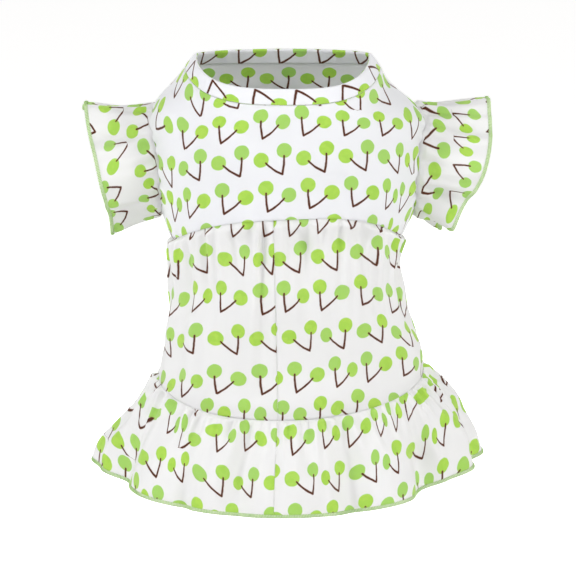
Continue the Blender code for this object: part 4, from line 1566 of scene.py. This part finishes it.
@dataclass
class Sleeve:
    """A flutter sleeve on one side, gathered into the armhole.

    Its turn is 0 at the top, 90 at the dog's back and 180 below, and its share runs from the armhole
    to the cuff.
    """

    side: float
    folds: tuple
    cuff: Cuff
    pattern: Pattern
    cotton: bpy.types.Material
    name: str
    lay: RowLay
    gathers: Gathers
    columns: int = 300
    rows: int = 42
    wall: float = 0.0006
    seat_turns: Array = field(init=False)
    seat: Array = field(init=False)

    def __post_init__(self) -> None:
        """Finds how far out the yoke's outer face is round the armhole."""
        yoke = self.pattern.yoke
        turn, share = np.meshgrid(np.linspace(0, 360, 180, endpoint=False), np.linspace(0, 1, 40))
        points = yoke.base(turn, share)
        rows, columns = turn.shape
        quads, _, _ = grid_quads(rows, columns, rows - 1, columns)
        faces = BVHTree.FromPolygons([Vector(p) for p in points.reshape(-1, 3)], quads.tolist())
        self.seat_turns = np.linspace(0.0, 360.0, 73)
        reach = []
        for angle in np.radians(self.seat_turns):
            depth = ARMHOLE_SETBACK - ARMHOLE_DEPTH / 2 * math.sin(angle)
            height = -ARMHOLE_DROP + ARMHOLE_HEIGHT / 2 * math.cos(angle)
            start = Vector((self.side * SHOULDER_WIDTH, depth, height))
            hit = faces.ray_cast(start, Vector((-self.side, 0.0, 0.0)))[0]
            reach.append(abs(hit.x) if hit else SHOULDER_WIDTH / 2)
        self.seat = np.array(reach)

    def base(self, turn: Array, share: Array) -> Array:
        """Returns points of the outer face without its small gathers."""
        angle = np.radians(turn)
        seat = np.interp(turn % 360.0, self.seat_turns, self.seat) + SLEEVE_STAND
        cuff = SLEEVE_REACH * (
            self.cuff.mean
            + self.cuff.slant * np.cos(angle)
            + self.cuff.fullness * np.sin(angle) ** 2
            + self.cuff.swing * np.sin(angle)
        )
        reach = seat + share * np.where(share > 0, cuff - seat, HEADING_REACH)
        root_depth = ARMHOLE_SETBACK - (ARMHOLE_DEPTH / 2 - SEAM_GAP) * np.sin(angle)
        root_height = -ARMHOLE_DROP + (ARMHOLE_HEIGHT / 2 - SEAM_GAP) * np.cos(angle)
        lift = CUFF_HEIGHT * fold_relief(self.folds, turn, share)
        cuff_depth = ARMHOLE_SETBACK - (CUFF_DEPTH / 2) * np.sin(angle)
        cuff_height = -CUFF_DROP + (CUFF_HEIGHT / 2) * np.cos(angle)
        flare = np.clip(share, 0, None) ** SLEEVE_FLARE_POWER
        depth = root_depth + flare * (cuff_depth - root_depth) - lift * np.sin(angle)
        height = root_height + flare * (cuff_height - root_height) + lift * np.cos(angle)
        return np.stack([self.side * reach, depth, height], axis=-1)

    def measure(self, turn: Array, share: Array) -> tuple[Array, Array]:
        """Returns the distances round the sleeve from its back and out from the armhole."""
        radius = SLEEVE_RADIUS + SLEEVE_FLARE * np.clip(share, 0, 1)
        return np.radians(turn - 90.0) * radius * self.side, share * SLEEVE_CLOTH_LENGTH

    def outer(self, turn: Array, share: Array) -> Array:
        """Returns points of the outer face."""
        points = self.base(turn, share)
        away = np.clip(share, 0, None) * SLEEVE_CLOTH_LENGTH
        radial = np.stack(
            [turn * 0, -np.sin(np.radians(turn)), np.cos(np.radians(turn))], axis=-1
        )
        lift = self.gathers.relief(turn, SLEEVE_RADIUS, away)
        return points + radial * lift[..., None]

    def last_share(self) -> float:
        """Returns the share at which the cloth stops and its edging begins."""
        return 1.0 - EDGING_WIDTH * 0.6 / SLEEVE_CLOTH_LENGTH

    def build(self) -> None:
        """Makes the sleeve, with its heading inside the armhole."""
        rows = np.concatenate([[-1.0, -0.4], np.linspace(0.0, 1.0, self.rows) * self.last_share()])
        turns = np.linspace(0.0, 360.0, self.columns, endpoint=False)
        turn, share = np.meshgrid(turns, rows)
        outer = self.outer(turn, share)
        normal = grid_normals(outer, True) * -self.side
        inner = outer - normal * self.wall
        wide_turn, wide_share = np.meshgrid(np.linspace(0.0, 360.0, self.columns + 1), rows)
        flat = self.lay.place(self.measure, wide_turn, wide_share)
        shell = ClothShell(outer, inner, flat, flat, closed=True)
        piece = shell.build(f"sleeve_{self.name}_cloth", self.cotton)
        settle(piece, f"sleeve_{self.name}")


@dataclass
class Edging:
    """Overlocked thread over one cut edge, on a narrow rolled strip of the cloth."""

    name: str
    edge: Array
    inward: Array
    upright: Array
    core: bpy.types.Material
    thread: bpy.types.Material
    width: float = EDGING_WIDTH * 0.8
    thick: float = 0.0007

    def build(self) -> None:
        """Makes the strip and its threads as one piece."""
        angles = np.linspace(0, 2 * math.pi, 8, endpoint=False)
        rings = [
            self.edge
            + self.inward * (math.cos(a) * self.width * 0.47)
            + self.upright * (math.sin(a) * self.thick * 0.5)
            for a in angles
        ]
        grid = np.stack(rings, axis=1)
        columns, around = grid.shape[:2]
        quads, _, _ = grid_quads(columns, around, columns, around)
        strip = mesh_object(self.name + "_strip", grid.reshape(-1, 3), quads, None, [self.core])
        threads = EdgeThreads(self.thread).build(
            self.name + "_threads", self.edge, self.inward, self.upright
        )
        piece = joined(self.name + "_overlock", [strip, threads])
        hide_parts(self.name)
        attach(piece, "root")
        log.info("%s: %d faces", piece.name, len(piece.data.polygons))


def joined(name: str, pieces: list) -> bpy.types.Object:
    """Joins mesh objects into the first and names it."""
    bpy.ops.object.select_all(action="DESELECT")
    for piece in pieces:
        piece.select_set(True)
    bpy.context.view_layer.objects.active = pieces[0]
    bpy.ops.object.join()
    pieces[0].name = name
    pieces[0].data.name = name
    return pieces[0]


LIGHTS = (
    Softbox("key", (-2.2, -1.1, 0.9), 0.5, 23.0, (0.985, 0.985, 1.0)),
    Softbox("fill", (2.2, -1.2, 0.9), 0.6, 20.0, (1.0, 0.99, 0.975)),
    Softbox("top", (0.1, -1.2, 2.0), 0.8, 15.0, (0.97, 0.98, 1.0)),
    Softbox("front", (0.0, -2.4, 0.8), 0.8, 7.0, (0.985, 0.985, 1.0)),
    Softbox("back", (0.0, 2.2, 0.7), 1.0, 24.0, (1.0, 1.0, 1.0)),
)


@dataclass
class Studio:
    """A pale floor that glows with painted light, soft studio light and the camera."""

    elevation: float = 13.0
    distance: float = 2.5
    aim: tuple = (0.0006, 0.0, -0.1355)
    view_width: float = 0.3456
    sensor: float = 36.0
    sight: float = 50.0
    floor_level: float = -0.62
    floor_half: float = 14.0
    floor_glow: float = 0.65
    grey: tuple = (0.30, 0.30, 0.30, 1.0)
    grey_ends: tuple = (0.75, 1.15)
    ambient: float = 0.30

    def light(self, box: Softbox) -> None:
        """Adds a softbox that faces the dress."""
        data = bpy.data.lights.new(box.name, "AREA")
        data.shape = "SQUARE"
        data.size = box.size
        data.energy = box.power
        data.color = box.colour
        lamp = bpy.data.objects.new(box.name, data)
        lamp.location = box.place
        lamp.rotation_euler = (Vector(self.aim) - Vector(box.place)).to_track_quat("-Z", "Y").to_euler()
        bpy.context.scene.collection.objects.link(lamp)

    def camera(self) -> None:
        """Adds the camera."""
        scene = bpy.context.scene
        up = math.radians(self.elevation)
        aim = Vector(self.aim)
        data = bpy.data.cameras.new("camera")
        data.sensor_width = self.sensor
        data.lens = self.sensor * self.distance / self.view_width
        data.clip_end = self.sight
        camera = bpy.data.objects.new("camera", data)
        camera.location = aim + Vector((0.0, -math.cos(up), math.sin(up))) * self.distance
        camera.rotation_euler = (aim - camera.location).to_track_quat("-Z", "Y").to_euler()
        scene.collection.objects.link(camera)
        scene.camera = camera

    def floor(self) -> None:
        """Adds the floor, which glows with painted light: white behind the dress and grey under it, where
        its light would reach the dress.
        """
        half = self.floor_half
        corners = [(-half, -half), (half, -half), (half, half), (-half, half)]
        mesh = bpy.data.meshes.new("floor")
        mesh.from_pydata([(x, y, self.floor_level) for x, y in corners], [], [(0, 1, 2, 3)])
        floor = bpy.data.objects.new("floor", mesh)
        bpy.context.scene.collection.objects.link(floor)
        paint = bpy.data.materials.new("glowing_floor")
        paint.use_nodes = True
        shader = paint.node_tree.nodes["Principled BSDF"]
        graph = Graph(paint.node_tree)
        place = graph.add("ShaderNodeTexCoord", {}, {})["Object"]
        away = graph.add("ShaderNodeVectorMath", {"operation": "LENGTH"}, {0: place})["Value"]
        tone = graph.mix(away.step(*self.grey_ends), self.grey, (1.0, 1.0, 1.0, 1.0))
        paint.node_tree.links.new(tone.link, shader.inputs["Base Color"])
        paint.node_tree.links.new(tone.link, shader.inputs["Emission Color"])
        shader.inputs["Roughness"].default_value = 0.9
        # The floor's emission is painted light: it glows white behind the dress and lights the dress, less
        # where the floor is grey
        shader.inputs["Emission Strength"].default_value = self.floor_glow
        floor.data.materials.append(paint)

    def world(self) -> None:
        """Adds the soft light from all round."""
        world = bpy.data.worlds.new("studio")
        world.use_nodes = True
        background = world.node_tree.nodes["Background"]
        background.inputs["Color"].default_value = (1.0, 0.985, 0.965, 1.0)
        background.inputs["Strength"].default_value = self.ambient
        bpy.context.scene.world = world

    def build(self) -> None:
        """Makes the camera, the floor and the lights."""
        bpy.context.scene.view_settings.view_transform = "Standard"
        self.camera()
        self.floor()
        self.world()
        for box in LIGHTS:
            self.light(box)


def edge_line(outer: Any, length: float, first_turn: float, columns: int) -> tuple[Array, Array, Array]:
    """Finds the middle of the edging round a hem or cuff.

    Args:
        outer: Gives points of the piece's outer face at turns and shares.
        length: The length that the piece's shares refer to.
        first_turn: Where the round starts.
        columns: Points round the edge.

    Returns:
        The points, the directions into the cloth and the directions square to it.
    """
    turn = np.linspace(first_turn, first_turn + 360.0, columns, endpoint=False)
    share = np.full_like(turn, 1.0 - EDGING_WIDTH * 0.5 / length)
    step = EDGE_STEP / length
    points = outer(turn, share)
    inward = unit(outer(turn, share - step) - outer(turn, share + step))
    along = unit(np.roll(points, -1, axis=0) - np.roll(points, 1, axis=0))
    upright = unit(np.cross(along, inward))
    return points, np.cross(upright, along), upright


YOKE_LAY = RowLay(
    (
        Sprigs(3, ((-39.5, 0.150, -2), (-25.2, 0.040, -1), (58.2, 0.145, 3))),
        Sprigs(2, ((-45.5, 0.410, -2), (-27.2, 0.335, -1), (-10.0, 0.285, 0), (7.0, 0.260, 1),
            (24.0, 0.275, 2), (40.8, 0.315, 3), (60.5, 0.385, 4))),
        Sprigs(1, ((-58.0, 0.680, -3), (-39.5, 0.635, -2), (-20.2, 0.610, -1), (-2.0, 0.595, 0),
            (15.8, 0.585, 1), (33.8, 0.585, 2), (52.0, 0.610, 3), (66.5, 0.640, 4))),
        Sprigs(0, ((-60.0, 0.900, -3), (-47.8, 0.900, -2), (-29.0, 0.915, -1), (-8.8, 0.920, 0),
            (10.5, 0.905, 1), (30.2, 0.890, 2), (47.8, 0.875, 3), (58.5, 0.875, 4))),
    )
)
SKIRT_LEFT_LAY = RowLay(
    (
        Sprigs(0, ((-49.0, 0.035, -4), (-40.0, 0.040, -3), (-26.2, 0.070, -2), (-11.0, 0.080, -1))),
        Sprigs(-1, ((-61.0, 0.265, -4), (-40.8, 0.245, -3), (-21.2, 0.270, -2), (-7.2, 0.265, -1))),
        Sprigs(-2, ((-72.8, 0.530, -4), (-48.0, 0.460, -3), (-31.8, 0.455, -2), (-11.5, 0.465, -1))),
        Sprigs(-3, ((-67.0, 0.790, -4), (-44.0, 0.690, -3), (-23.5, 0.670, -2), (-5.0, 0.655, -1))),
        Sprigs(-4, ((-49.0, 0.965, -3), (-31.8, 0.890, -2), (-11.2, 0.870, -1))),
        Sprigs(-5, ((-35.0, 1.080, -3), (-19.0, 1.050, -2), (-4.0, 1.040, -1))),
    ),
    True,
)
SKIRT_RIGHT_LAY = RowLay(
    (
        Sprigs(0, ((1.5, 0.080, 0), (15.2, 0.070, 1), (30.2, 0.040, 2), (46.0, 0.030, 3))),
        Sprigs(-1, ((6.2, 0.265, 0), (25.0, 0.260, 1), (46.2, 0.225, 2), (63.8, 0.225, 3))),
        Sprigs(-2, ((-0.5, 0.450, 0), (16.5, 0.455, 1), (36.8, 0.445, 2))),
        Sprigs(-3, ((10.2, 0.655, 0), (25.2, 0.660, 1), (44.2, 0.665, 2))),
        Sprigs(-4, ((4.0, 0.860, 0), (21.0, 0.850, 1), (34.5, 0.855, 2), (53.2, 0.890, 3))),
        Sprigs(-5, ((-2.5, 1.050, -1), (12.8, 1.040, 0), (28.0, 1.030, 1))),
    ),
    True,
)
FLOUNCE_LEFT_LAY = RowLay(
    (
        Sprigs(0, ((-68.5, 0.405, -6), (-47.2, 0.310, -5), (-39.8, 0.415, -4), (-25.0, 0.350, -3),
            (-15.8, 0.295, -2), (-3.0, 0.395, -1))),
        Sprigs(-1, ((-84.2, 0.770, -7), (-63.8, 0.790, -6), (-43.5, 0.745, -5), (-35.2, 0.725, -4),
            (-20.8, 0.795, -3), (-11.5, 0.780, -2))),
        Sprigs(-2, ((-50.0, 1.120, -5), (-40.0, 1.150, -4), (-27.0, 1.175, -3), (-16.5, 1.190, -2),
            (-4.0, 1.200, -1))),
    ),
    True,
)
FLOUNCE_RIGHT_LAY = RowLay(
    (
        Sprigs(0, ((2.0, 0.355, 0), (13.2, 0.295, 1), (22.2, 0.305, 2), (33.8, 0.275, 3),
            (40.2, 0.275, 4), (48.0, 0.230, 5), (68.5, 0.255, 6))),
        Sprigs(-1, ((7.8, 0.745, 0), (16.2, 0.740, 1), (28.0, 0.705, 2), (35.2, 0.670, 3),
            (50.5, 0.655, 4), (59.2, 0.620, 5), (75.5, 0.615, 6))),
        Sprigs(-2, ((3.0, 1.160, 0), (14.2, 1.150, 1), (24.7, 1.140, 2), (36.0, 1.100, 3),
            (46.7, 1.100, 4), (55.5, 1.070, 5))),
    ),
    True,
)
LEFT_SLEEVE_LAY = RowLay(
    (
        Sprigs(0, ((90.0, -0.06, 0), (122.0, -0.06, -1))),
        Sprigs(1, ((60.0, 0.350, 0), (102.0, 0.640, -1))),
    )
)
RIGHT_SLEEVE_LAY = RowLay(
    (
        Sprigs(1, ((65.0, -0.02, -1), (116.0, 0.060, 0))),
        Sprigs(2, ((24.0, 0.420, -2), (54.0, 0.390, -1), (82.0, 0.490, 0), (113.0, 0.600, 1))),
    )
)


def main() -> None:
    """Builds the dress in order and reports each piece."""
    logging.basicConfig(level=logging.INFO, format="%(message)s")
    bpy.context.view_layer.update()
    pattern = Pattern()
    # The lined cotton's cooler white and the gathered cotton's warmer white are partly the cloth's own tone
    # and partly painted light: cool light on the yoke, warm shade in the gathered pieces
    lined = PrintedCotton("lined_cotton_print", (0.800, 0.806, 0.835, 1.0)).build()
    gathered = PrintedCotton("gathered_cotton_print", (0.806, 0.802, 0.800, 1.0)).build()
    green = Thread("green_thread", (0.36, 0.58, 0.19, 1.0), (0.56, 0.74, 0.36, 1.0)).build()
    pale_green = Thread("edge_cloth", (0.62, 0.75, 0.48, 1.0), (0.72, 0.80, 0.60, 1.0), 0.8).build()
    Yoke(pattern, lined).build()
    Neckband(pattern, lined).build()
    GatheredTier(
        pattern, pattern.skirt, "skirt", gathered, BACK_SEAM_TOP_TURN, BACK_SEAM_FOOT_TURN,
        last_share=1.0, columns=250, rows=96, flat=(0.245, 0.100),
        lay_left=SKIRT_LEFT_LAY, lay_right=SKIRT_RIGHT_LAY,
    ).build()
    GatheredTier(
        pattern, pattern.flounce, "flounce", gathered, BACK_SEAM_FOOT_TURN, BACK_SEAM_FOOT_TURN,
        last_share=1.0 - (EDGING_WIDTH * 0.6) / FLOUNCE_LENGTH, columns=360, rows=64, flat=(0.33, 0.062),
        lay_left=FLOUNCE_LEFT_LAY, lay_right=FLOUNCE_RIGHT_LAY,
    ).build()
    left = Sleeve(
        -1.0, LEFT_SLEEVE_FOLDS, LEFT_CUFF, pattern, gathered, "left", LEFT_SLEEVE_LAY,
        Gathers(0.0080, 0.0042, 0.020, 51, (0.0, 360.0)),
    )
    right = Sleeve(
        1.0, RIGHT_SLEEVE_FOLDS, RIGHT_CUFF, pattern, gathered, "right", RIGHT_SLEEVE_LAY,
        Gathers(0.0080, 0.0042, 0.020, 52, (0.0, 360.0)),
    )
    left.build()
    right.build()
    hem = edge_line(pattern.flounce.outer, FLOUNCE_LENGTH, -180.0, HEM_EDGE_COLUMNS)
    Edging("hem_edging", *hem, pale_green, green).build()
    for sleeve in (left, right):
        cuff = edge_line(sleeve.outer, SLEEVE_CLOTH_LENGTH, 0.0, CUFF_EDGE_COLUMNS)
        Edging(f"cuff_edging_{sleeve.name}", *cuff, pale_green, green).build()
    Studio().build()


if __name__ == "__main__":
    main()
